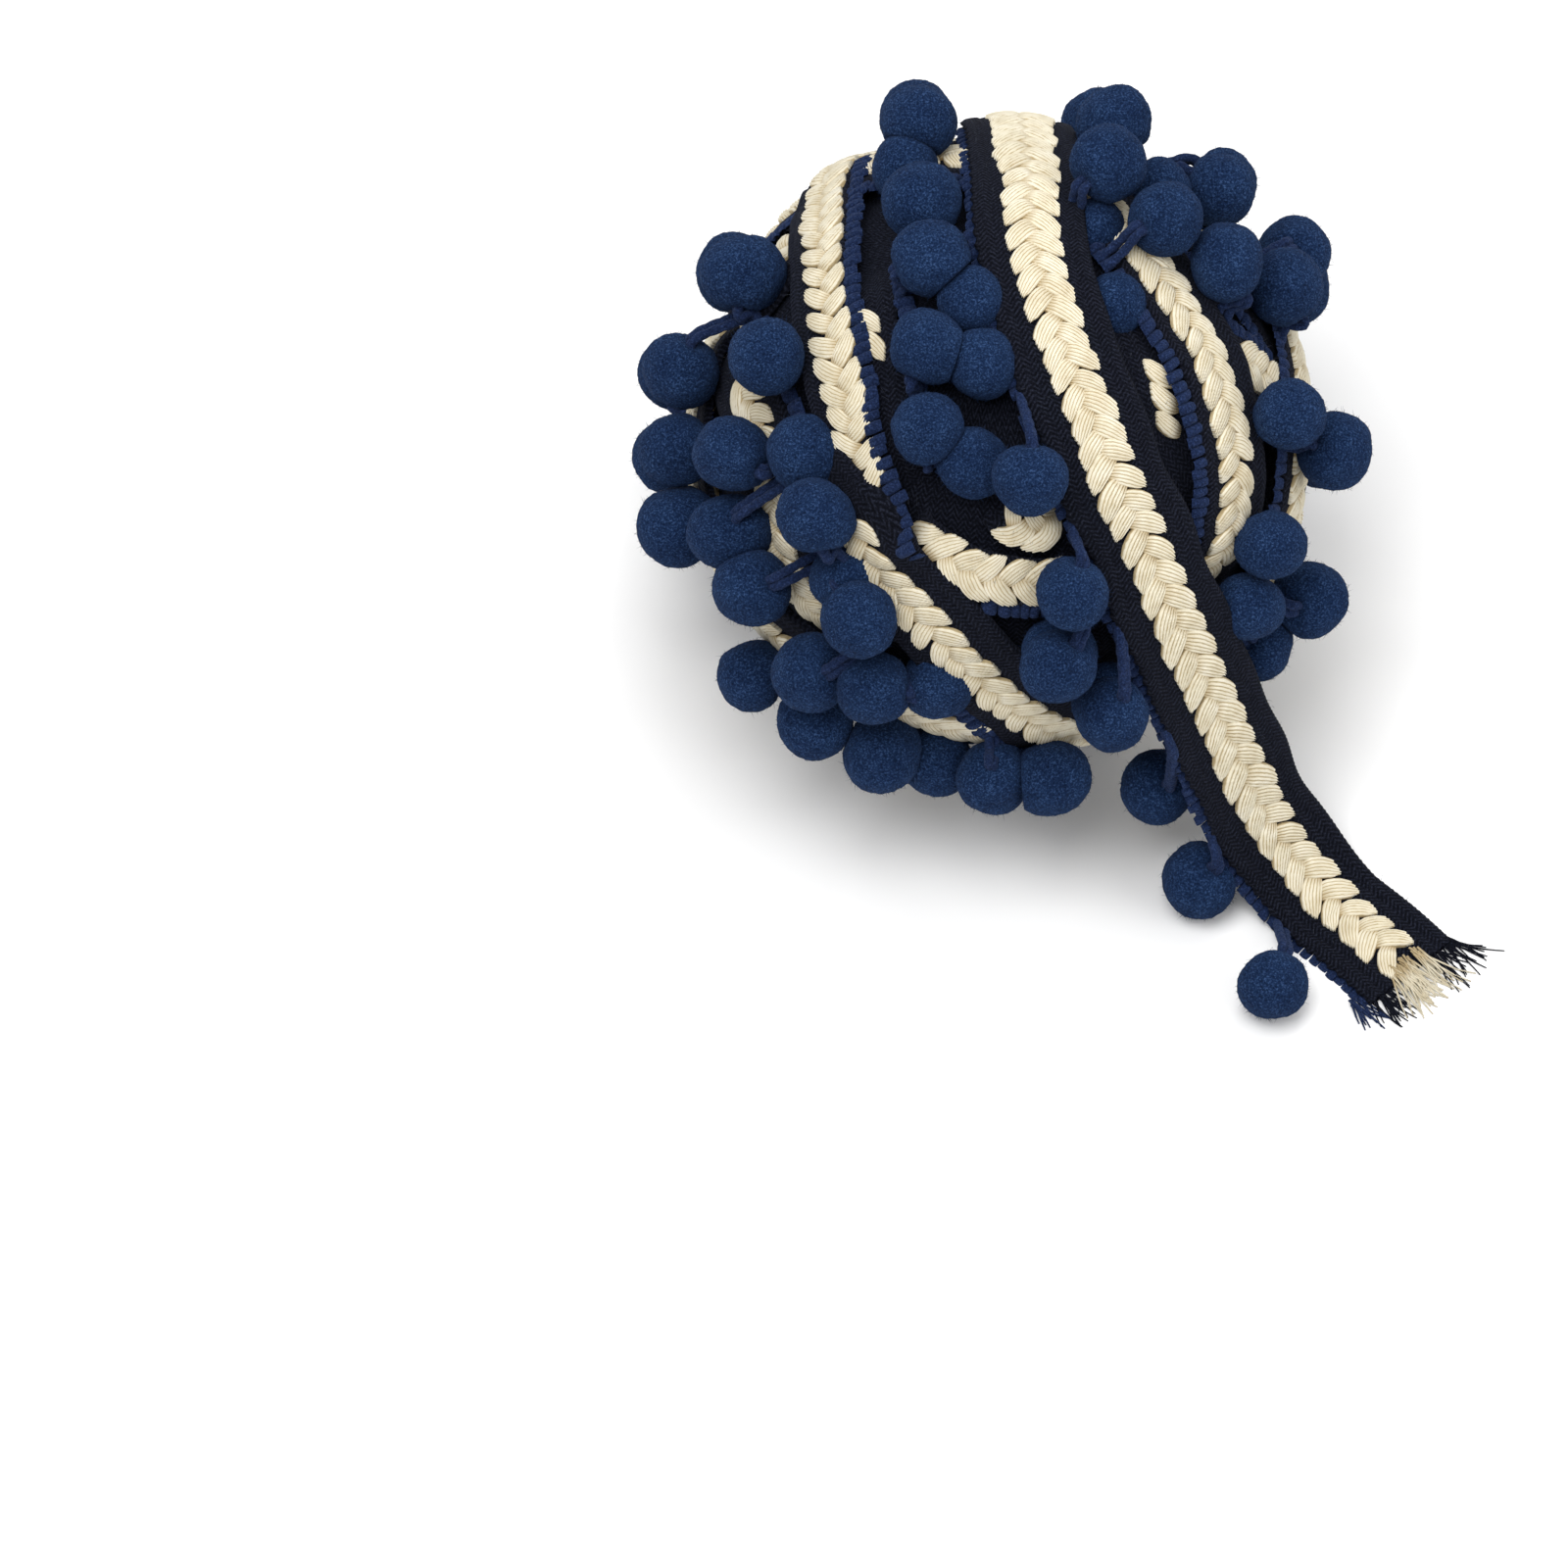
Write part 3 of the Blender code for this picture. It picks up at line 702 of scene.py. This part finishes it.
def tape_on_turn(pile, turn):
    """Upper face and both edges of a turn's tape."""
    far, rim = turn.far, turn.rim
    inner = np.linspace(-far + 0.5 * MM, rim - 0.5 * MM, 25)
    across = np.concatenate([[-far + 0.1 * MM, -far], inner, [rim, rim - 0.1 * MM]])
    lift = knit_relief(across)
    lift[[0, -1]] = -TAPE_THICK - 0.4 * MM
    lift[[1, -2]] = -0.45 * TAPE_THICK
    along, across = np.meshgrid(turn.along, across, indexing="ij")
    nearness = np.minimum(across + far, rim - across) / (1.2 * MM)
    edge = 1 - np.clip(nearness, 0.0, 1.0)
    flat = np.stack([along, across], -1) + turn.radius * 100
    wander = waves(flat[..., :1], 9 * MM, 6, 11) * 0.35 * MM
    bumpy = across + edge_bumps(across, along, edge) + wander
    folded = np.clip((turn.edge_at(along) - turn.edge) / rim + 1, 0.02, 1.0)
    bumpy = np.where(bumpy > 0, bumpy * folded, bumpy)
    lift = lift + waves(flat, 2.4 * MM, 10, 12) * 0.08 * MM
    points = turn.place(along, bumpy, lift)
    marks = np.stack([across, along], -1) / MM
    pile.add(points, grid_faces(*along.shape), marks, flip=not turn.mirrored)


def leaf_grid(rows, fine):
    """One leaf of the plait, lying to the right: (across, along, lift) and UV."""
    root, bend, tip = np.array(LEAF_AXIS) * MM
    per_rib = 3 if fine else 2
    lanes = np.linspace(-1.0, 1.0, per_rib * RIBS + 1)[None, :]
    # Its threads end sooner the further they lie from the tip, and a little unevenly.
    s = np.sin(np.linspace(0.0, math.pi / 2, rows))[:, None]
    from_tip = np.abs(lanes - LEAF_TIP)
    sooner = np.where(lanes < LEAF_TIP, 0.19 * (from_tip / (1 + LEAF_TIP)) ** 1.8,
                      0.14 * (from_tip / (1 - LEAF_TIP)) ** 2)
    uneven = 0.02 * np.sin(lanes * 17.0 + 1.0)
    s = s * (1 - sooner - uneven)
    r = s[..., None]
    axis = (1 - r) ** 2 * root + 2 * r * (1 - r) * bend + r ** 2 * tip
    ahead = unit(2 * (1 - r) * (bend - root) + 2 * r * (tip - bend))
    beside = np.stack([-ahead[..., 1], ahead[..., 0]], -1)
    width = np.interp(s, *LEAF_WIDTH) * MM
    height = np.interp(s, *LEAF_HEIGHT) * MM
    groove = np.arange(lanes.size) % per_rib == 0
    rib = np.where(groove, -0.20, 0.10) * MM
    flat = axis + beside * (lanes * width)[..., None]
    lift = height * (1 - 0.36 * np.abs(lanes) ** 2.6) + rib * np.minimum(1.0, s * 5)
    thread = np.broadcast_to((lanes + 1) * RIBS / 2, s.shape)
    # A skirt round the tip and sides brings the leaf down to the tape.
    parts = (flat[..., 0], flat[..., 1], lift, thread, s * LEAF_RUN)
    across, along, lift, thread, run = (np.pad(part, ((0, 1), (1, 1)), mode="edge")
                                        for part in parts)
    skirt = np.ones(lift.shape, bool)
    skirt[:-1, 1:-1] = False
    lift = np.where(skirt, np.minimum(lift - 0.7 * MM, 0.1 * MM), lift)
    return across, along, lift, np.stack([thread, run], -1)


def braid_on(pile, band, rows, base, trees=()):
    """The plait down the middle of a band, its leaves alternating."""
    across, along, lift, marks = leaf_grid(rows, not trees)
    faces = grid_faces(*across.shape)
    starts = []
    at = band.bare
    while at < band.length - BARE_END:
        starts.append(at)
        at += rng.uniform(0.86, 1.14) * PLAIT_PITCH / 2 * band.pull(at)
    starts = np.array(starts)
    for side in (1, -1):
        mids = starts[::2] if side > 0 else starts[1::2]
        if trees:
            mids = mids[band.shown(mids, side * 1.5 * MM, base + BRAID_THICK, trees)]
        if not len(mids):
            continue
        mids = mids[:, None, None]
        size = 1 + vary(0.055, mids)
        swing = vary(0.08, mids)
        spread = (across * size + along * swing) * band.width(mids)
        run = mids + along * size * band.pull(mids) - across * swing
        run = run + vary(0.10, mids) * MM
        rise = base + lift * (1 + vary(0.06, mids))
        run = np.clip(run, 0.0, band.length)
        reach = np.minimum(side * spread, band.edge_at(run) - 0.3 * MM)
        points = band.place(run, reach, rise)
        shift = rng.integers(0, 9, (len(mids), 1, 1, 1)) * np.array((0.0, LEAF_UV))
        pile.add_copies(points, faces, marks[None] + shift,
                        flip=(side > 0) == band.mirrored)


def block_grid():
    """One wrap of the corded edge: (across, along, lift) on a grid."""
    a = np.linspace(-1.0, 1.0, 7)[:, None]
    c = np.linspace(-1.0, 1.0, 7)[None, :]
    dome = (1 - 0.65 * np.abs(c) ** 4) * (1 - 0.85 * np.abs(a) ** 4)
    lift = (dome * 1.25 - 0.75) * MM
    across = c * BLOCK_WIDTH / 2 * (1 - 0.08 * a ** 2)
    along = a * BLOCK_PITCH / 2 * (1.06 - 0.12 * c ** 2)
    return np.broadcast_arrays(across, along, lift)


def header_on(pile, band, base, trees=(), kind=0):
    """The row of wraps along a band's fringe edge."""
    across, along, lift = block_grid()
    faces = grid_faces(*across.shape)
    gaps = rng.uniform(0.85, 1.15, round(band.length / BLOCK_PITCH) + 8)
    mids = MM + np.cumsum(gaps) * BLOCK_PITCH
    mids = mids[(mids > band.tucked) & (mids < band.length - MM)]
    if trees:
        mids = mids[band.shown(mids, band.edge_at(mids), base + 0.4 * MM + band.raised(mids),
                               trees)]
    if not len(mids):
        return
    mids = mids[:, None, None]
    width = 1 + vary(0.10, mids)
    slant = rng.normal(0.10, 0.08, mids.shape)
    run = mids + along + slant * across + vary(0.10, mids) * MM
    run = np.clip(run, 0.0, band.length)
    spread = band.edge_at(mids) + across * width + vary(0.18, mids) * MM
    rise = base + band.raised(mids) + lift * (1 + vary(0.08, mids))
    rise = rise + waves(np.stack([run, spread], -1), 0.75 * MM, 10, 51) * 0.10 * MM
    points = band.place(run, spread, rise)
    marks = np.stack([spread, run], -1) / MM
    pile.add_copies(points, faces, marks, kind, flip=not band.mirrored)


def fluff_on(pile, band, count, reach, trees=()):
    """Fine hairs standing off a band's cloth."""
    along = rng.uniform(4 * MM, band.length - 4 * MM, count)
    across = rng.uniform(-1.0, 1.0, count) * reach
    if trees:
        seen = band.shown(along, across, 0.6 * MM, trees)
        along, across = along[seen], across[seen]
    if not len(along):
        return
    foot = band.place(along, across, 0.3 * MM)
    up = unit(band.place(along, across, 1.3 * MM) - foot)
    lean = unit(up * 0.5 + vary(0.6, foot))
    long = rng.uniform(0.8, 2.6, (len(foot), 1)) * MM
    aside = unit(np.cross(lean, up + 0.01)) * HAIR
    bend = foot + lean * long * 0.5
    corners = [foot - aside, foot + aside, foot + up * HAIR,
               bend - aside * 0.8, bend + aside * 0.8, bend + up * HAIR,
               bend + unit(lean + vary(0.5, foot)) * long * 0.5]
    sides = np.array(((0, 1, 4), (0, 4, 3), (1, 2, 5), (1, 5, 4), (2, 0, 3), (2, 3, 5),
                      (3, 4, 6), (4, 5, 6), (5, 3, 6)))
    pile.add_copies(above_floor(np.stack(corners, 1)), sides)


def tube_frames(points):
    """Two directions across a curve at each of its points, without twist."""
    ahead = unit(np.gradient(points, axis=0))
    start = np.eye(3)[np.argmin(np.abs(ahead[0]))]
    first = []
    for way in ahead:
        start = start - way * (start @ way)
        start = start / np.linalg.norm(start)
        first.append(start)
    first = np.array(first)
    return first, np.cross(ahead, first)


def add_tube(pile, points, radii, sides=8, ply=0, twist=0.0, kind=0):
    """A closed tube along points; ply and twist give it a cord's lay."""
    first, second = tube_frames(points)
    run = lengths(points)
    angle = np.arange(sides) * 2 * math.pi / sides
    radius = np.broadcast_to(radii, len(points))[:, None]
    if ply:
        radius = radius * (1 + 0.10 * np.cos(ply * angle[None] - run[:, None] * twist))
    ring = (first[:, None] * np.cos(angle)[None, :, None]
            + second[:, None] * np.sin(angle)[None, :, None])
    rows = points[:, None] + ring * radius[..., None]
    marks = np.stack(np.broadcast_arrays(angle[None], run[:, None] / MM), -1)
    pile.add(rows, grid_faces(len(points), sides, True), marks, kind, flip=True)
    for end, order in ((0, 1), (len(points) - 1, -1)):
        centre = np.vstack([rows[end], points[end]])
        k = np.arange(sides)
        fan = np.stack([k, (k + 1) % sides, np.full(sides, sides)], -1)
        pile.add(centre, fan[:, ::order], None, kind)


# ---- pompoms
def icosphere(subdivisions):
    shape = bmesh.new()
    bmesh.ops.create_icosphere(shape, subdivisions=subdivisions, radius=1.0)
    points = np.array([tuple(v.co) for v in shape.verts])
    faces = np.array([[v.index for v in f.verts] for f in shape.faces])
    shape.free()
    return unit(points), faces


FELT_BALL = icosphere(5)
HIDDEN_BALL = icosphere(4)


def add_pompom(pile, centre, seed, neighbours=(), cleft=None, radius=POMPOM_RADIUS,
               ball=FELT_BALL):
    """A felted ball, pressed flat where it meets its neighbours."""
    rays, faces = ball
    draw = np.random.default_rng(seed)
    radius = radius * draw.uniform(0.99, 1.10)
    stretch = unit(draw.normal(size=3))
    longer = draw.uniform(-0.15, 0.12) * (rays @ stretch) ** 2
    lumps = 0.042 * waves(rays, 1.1, 8, seed) + 0.013 * waves(rays, 0.42, 16, seed + 1)
    grain = 0.010 * waves(rays, 0.09, 24, seed + 2)
    size = radius * (1 + longer + lumps + grain)
    if cleft is not None:
        near = np.clip(rays @ cleft, -1.0, 1.0)
        size = size - radius * 0.16 * np.exp(-((1 - near) / 0.05))
    points = rays * size[:, None]
    for other in neighbours:
        gap = other - centre
        distance = np.linalg.norm(gap)
        if 1e-6 < distance < 2 * radius:
            way = gap / distance
            over = points @ way - distance / 2
            press = np.where(over > 0, over, 0.0)
            points = points - way * press[:, None] * 0.9
    world = above_floor(centre + points, 0.1 * MM)
    pile.add(world, faces)
    # Loose fibres: thin three-sided spikes leaning every way.
    chosen = draw.integers(0, len(rays), FIBRES)
    lean = unit(rays[chosen] + draw.normal(0.0, 1.1, (FIBRES, 3)))
    long = draw.uniform(0.4, 1.0, (FIBRES, 1)) * MM * draw.choice((1.0, 1.0, 1.7), (FIBRES, 1))
    aside = unit(np.cross(lean, draw.normal(size=(FIBRES, 3))))
    beyond = np.cross(lean, aside) * FIBRE
    foot = world[chosen] - lean * 0.2 * MM
    back = foot - aside * FIBRE / 2
    corners = [foot + aside * FIBRE, back + beyond, back - beyond, world[chosen] + lean * long]
    sides = np.array(((0, 1, 3), (1, 2, 3), (2, 0, 3)))
    pile.add_copies(above_floor(np.stack(corners, 1)), sides)


def add_loop(pile, start, start_up, centre, along):
    """Doubled cord from the corded edge to a pompom, and where it goes in."""
    gap = centre - start
    distance = np.linalg.norm(gap)
    way = gap / distance
    entry = unit(-way * 0.8 + start_up * 0.45)
    end = centre + entry * POMPOM_RADIUS * 0.55
    rise = start_up * max(0.0, min(3.0 * MM, distance * 0.12))
    for side in (-1, 1):
        shift = along * side * CORD_RADIUS
        knots = np.array((start + shift * 1.25 - way * 1.0 * MM,
                          start + shift * 1.1 + way * distance * 0.18 + rise,
                          centre + entry * POMPOM_RADIUS * 1.15 + shift * 0.92,
                          end + shift * 0.85))
        route = evened(smooth_route(knots, 0.6 * MM), 0.6 * MM)
        route = above_floor(route, 1.1 * CORD_RADIUS + FLOOR_GAP)
        add_tube(pile, route, CORD_RADIUS, 10, 2, 2 * math.pi / CORD_LAY, kind=1)
    return entry


def is_clear(surface, point, room):
    nearest, normal, _, distance = surface.find_nearest(Vector(point))
    return distance >= room and (Vector(point) - nearest).dot(normal) > 0.0


def cad_surface(node):
    """Search tree of a CAD node's surface."""
    shape = bmesh.new()
    shape.from_mesh(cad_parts[node].data)
    surface = BVHTree.FromBMesh(shape)
    shape.free()
    return surface


def seat_radius(surfaces, ray):
    """How far out the CAD seats a pompom on the ball."""
    radius = CORE_RADIUS
    while not all(is_clear(surface, CENTRE + ray * radius, POMPOM_RADIUS + GAP)
                  for surface in surfaces):
        radius += SEAT_STEP
    return radius


# ---- building
def declare(piece, nodes=()):
    if nodes:
        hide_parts(*nodes)
    return piece


def build_core(material):
    """What shows between the turns: more dark cloth, wound underneath."""
    pile = Pile()
    rays, faces = icosphere(5)
    pole = unit(rays * (1.0, 1.0, 0.35))
    bands = np.sin(pole[:, 2] * 34.0 + waves(rays, 0.7, 6, 31) * 2.0)
    radius = CORE_RADIUS + 0.5 * MM * bands
    points = above_floor(CENTRE + rays * radius[:, None], 0.3 * MM)
    marks = np.stack([np.arctan2(rays[:, 1], rays[:, 0]), rays[:, 2]], -1) * 56.0
    pile.add(points, faces, marks)
    return declare(pile.build("wound_core", [material]), ["ball"])


def build_turns(tape, braid, cord, lint):
    """Every turn of the winding, each draped over the rows of the table before it."""
    turns = [Turn(*row) for row in TURNS]
    trees = []
    for turn in turns:
        turn.drape(trees)
        trees.append(turn.tree())
    tapes = Pile()
    braids = (Pile(), Pile())
    headers = Pile()
    fluff = Pile()
    for k, turn in enumerate(turns):
        others = trees[:k] + trees[k + 1:]
        fluff_on(fluff, turn, TURN_HAIRS, turn.far, others)
        tape_on_turn(tapes, turn)
        braid_on(braids[k % 2], turn, 9, 0.0, others)
        header_on(headers, turn, -0.2 * MM, others)
    declare(tapes.build("turn_tapes", [tape]))
    declare(fluff.build("turn_fluff", [lint]))
    for k, pile in enumerate(braids):
        declare(pile.build(f"turn_braids_{k + 1}", [braid]))
    declare(headers.build("turn_corded_edges", [cord]))
    return turns, trees


def header_roots(turns, trees):
    """Points of the corded edges that show, with the way each edge runs."""
    roots, ways = [], []
    for k, turn in enumerate(turns):
        along = np.arange(5 * MM, turn.length - 5 * MM, 2 * MM)
        across = turn.edge_at(along)
        lift = turn.raised(along)
        seen = turn.shown(along, across, lift + 0.5 * MM, trees[:k] + trees[k + 1:])
        points = turn.place(along, across, lift)
        roots.append(points[seen])
        ways.append(unit(np.gradient(points, axis=0))[seen])
    return np.vstack(roots), np.vstack(ways)


def build_fringes(turns, trees, felt, cord):
    """A piece for each fringe of the CAD, and one for the squeezed pompoms."""
    surfaces = [cad_surface(node) for node in ("ball", "loose_tape", "loose_fringe")]
    rows = []
    for name, places in FRINGES:
        rays = directions(places)
        seats = np.array([seat_radius(surfaces, ray) for ray in rays]) - SEAT_SINK
        rows.append((name, CENTRE + rays * seats[:, None], np.full(len(rays), POMPOM_RADIUS)))
    tucked = np.array(TUCKED)
    rows.append((None, CENTRE + directions(TUCKED) * (tucked[:, 2:3] * MM), tucked[:, 3] * MM))
    loose = np.array(LOOSE_POMPOMS)[:, :3] * MM
    everyone = np.vstack([middles for _, middles, _ in rows] + [loose])
    roots, ways = header_roots(turns, trees)
    seed = 100
    for name, middles, sizes in rows:
        pile = Pile()
        for centre, radius in zip(middles, sizes):
            seed += 10
            gaps = np.linalg.norm(roots - centre, axis=1)
            best = int(np.argmin(np.where(gaps < NEAREST_ROOT, gaps + 20 * MM, gaps)))
            cleft = None
            if gaps[best] < FURTHEST_ROOT and name:
                up = unit(roots[best] - CENTRE)
                cleft = add_loop(pile, roots[best], up, centre, ways[best])
            add_pompom(pile, centre, seed, everyone, cleft, radius,
                       FELT_BALL if name else HIDDEN_BALL)
        piece = pile.build(f"pompoms_{name or 'tucked'}", [felt, cord])
        declare(piece, [f"fringe_{name}"] if name else ())
    return everyone


def loose_sheet(band):
    """The loose tape: a closed strip with its knitted columns on the upper face."""
    columns = 37
    top = np.linspace(-HALF, HALF, columns)
    bottom = np.linspace(HALF, -HALF, 13)[1:-1]
    rows = len(band.along)
    along, across = np.meshgrid(band.along, np.concatenate([top, bottom]), indexing="ij")
    edge = np.clip((np.abs(across) - HALF) / (1.2 * MM) + 1, 0.0, 1.0)
    stitch = np.sin(2 * math.pi * along / STITCH + np.abs(across) * STITCH_SLANT / MM)
    lift = np.full(along.shape, -TAPE_THICK / 2)
    lift[:, :columns] = (TAPE_THICK / 2 + knit_relief(across) + 0.05 * MM * stitch)[:, :columns]
    lift[:, [0, columns - 1]] = 0.0
    flat = np.stack([along, across], -1)
    sway = waves(flat[..., :1], 14 * MM, 6, 41) * 0.30 * MM
    points = band.place(along, across + edge_bumps(across, along, edge) + sway, lift)
    pile = Pile()
    marks = np.stack([across, along], -1) / MM
    faces = grid_faces(rows, along.shape[1], True)
    pile.add(points, faces, marks, flip=True)
    return pile


def build_fray(band, tape, braid, cord):
    """Threads that have come loose at the cut end, lying on the table."""
    navy, ecru, blue = Pile(), Pile(), Pile()
    draw = np.random.default_rng(SEED + 1)
    # Pile, threads, where across the tape, how far past the cut and half thickness,
    # all in mm, and how much they swing to a side.
    groups = ((navy, 38, (-11.0, -5.5), (4.0, 10.5), 0.24, -0.5),
              (navy, 32, (5.0, 11.0), (3.5, 8.5), 0.24, 0.4),
              (ecru, 64, (-4.4, 4.2), (4.5, 10.0), 0.27, 0.0),
              (blue, 14, (11.5, 14.5), (2.0, 6.0), 0.30, 0.6))
    for pile, count, lanes, reach, thick, swing in groups:
        for _ in range(count):
            across = draw.uniform(*lanes) * MM
            length = draw.uniform(*reach) * MM
            inside = draw.uniform(1.0, 4.0) * MM
            fan = np.clip(swing * draw.uniform(-0.5, 1.0) + draw.normal(0.0, 0.22), -0.6, 0.6)
            height = TAPE_THICK * draw.uniform(0.2, 1.0)
            if pile is ecru:
                height = TAPE_THICK + draw.uniform(0.2, 1.2) * MM
            start = band.place(band.length - inside, across, height - TAPE_THICK / 2)
            ahead = unit(band.route[-1] - band.route[-8])
            side = band.sides[-1]
            way = unit(ahead + side * fan)
            curl = np.clip(draw.normal(0.0, 0.35), -0.6, 0.6)
            s = np.linspace(0.0, 1.0, 8)[:, None]
            points = start + way * (s * (length + inside)) + side * (curl * s ** 2 * length * 0.5)
            drop = (start[2] - thick * MM) * np.clip(s[:, 0] * 1.4, 0.0, 1.0) ** 2
            points[:, 2] = np.maximum(start[2] - drop, thick * MM)
            radii = thick * MM * (1 - 0.5 * s[:, 0])
            add_tube(pile, points, radii, 5)
    declare(navy.build("frayed_navy_threads", [tape]))
    declare(ecru.build("frayed_ecru_threads", [braid]))
    declare(blue.build("frayed_blue_threads", [cord]))


def build_loose_end(tape, braid, felt, cord, lint, everyone):
    band = LooseEnd()
    cloth = declare(loose_sheet(band).build("loose_tape_cloth", [tape]),
                    ["loose_tape"])
    plait = Pile()
    braid_on(plait, band, 13, TAPE_THICK / 2)
    declare(plait.build("loose_braid_plait", [braid]), ["loose_braid"])
    fluff = Pile()
    fluff_on(fluff, band, LOOSE_HAIRS, HALF)
    declare(fluff.build("loose_tape_fluff", [lint]))
    fringe = Pile()
    header_on(fringe, band, LOOSE_EDGE_DROP, kind=1)
    edge = band.place(band.along, HALF, LOOSE_EDGE_DROP)
    ways = unit(np.gradient(edge, axis=0))
    for k, (*place, leaves_at) in enumerate(np.array(LOOSE_POMPOMS) * MM):
        centre = np.array(place)
        root = int(np.argmin(np.abs(band.along - leaves_at)))
        cleft = add_loop(fringe, edge[root], band.ups[root], centre, ways[root])
        add_pompom(fringe, centre, 900 + 10 * k, everyone, cleft)
    declare(fringe.build("loose_pompom_fringe", [felt, cord]), ["loose_fringe"])
    build_fray(band, tape, braid, cord)


def build_stage():
    bpy.ops.mesh.primitive_plane_add(size=8.0, location=(0.0, 0.0, 0.0))
    floor = bpy.context.object
    floor.name = "floor"
    floor.data.materials.append(floor_material())


def build_lights():
    for name, place, power in LIGHTS:
        lamp = bpy.data.lights.new(name, "AREA")
        lamp.shape = "DISK"
        lamp.size = LIGHT_SIZE
        lamp.energy = power
        light = linked(name, lamp)
        light.location = place
        aim = Vector(CENTRE) - Vector(place)
        light.rotation_euler = aim.to_track_quat("-Z", "Y").to_euler()
    world = bpy.data.worlds.new("studio")
    world.use_nodes = True
    background = world.node_tree.nodes["Background"]
    background.inputs["Color"].default_value = (1.0, 1.0, 1.0, 1.0)
    background.inputs["Strength"].default_value = SKY
    bpy.context.scene.world = world
    bpy.context.scene.view_settings.view_transform = "Standard"


def build_camera():
    """A long lens at the photograph's angle, in the photograph's frame."""
    data = bpy.data.cameras.new("camera")
    data.lens = LENS
    data.sensor_width = SENSOR
    camera = linked("camera", data)
    rise = np.array((0.0, math.sin(VIEW_ELEVATION), math.cos(VIEW_ELEVATION)))
    back = np.array((0.0, -math.cos(VIEW_ELEVATION), math.sin(VIEW_ELEVATION)))
    half = PHOTO_SIZE / 2
    aim = CENTRE + np.array((1.0, 0.0, 0.0)) * (half - BALL_PIXEL[0]) * PHOTO_SCALE
    aim = aim - rise * (half - BALL_PIXEL[1]) * PHOTO_SCALE
    distance = half * PHOTO_SCALE / (SENSOR / 2 / LENS)
    camera.location = aim + back * distance
    camera.rotation_euler = (math.pi / 2 - VIEW_ELEVATION, 0.0, 0.0)
    data.clip_end = 20.0
    bpy.context.scene.camera = camera


def main():
    tape = navy_tape_material()
    braid = ecru_braid_material()
    felt = felt_material()
    cord = cord_material()
    build_camera()
    build_lights()
    build_stage()
    build_core(tape)
    lint = lint_material()
    turns, trees = build_turns(tape, braid, cord, lint)
    everyone = build_fringes(turns, trees, felt, cord)
    build_loose_end(tape, braid, felt, cord, lint, everyone)


main()
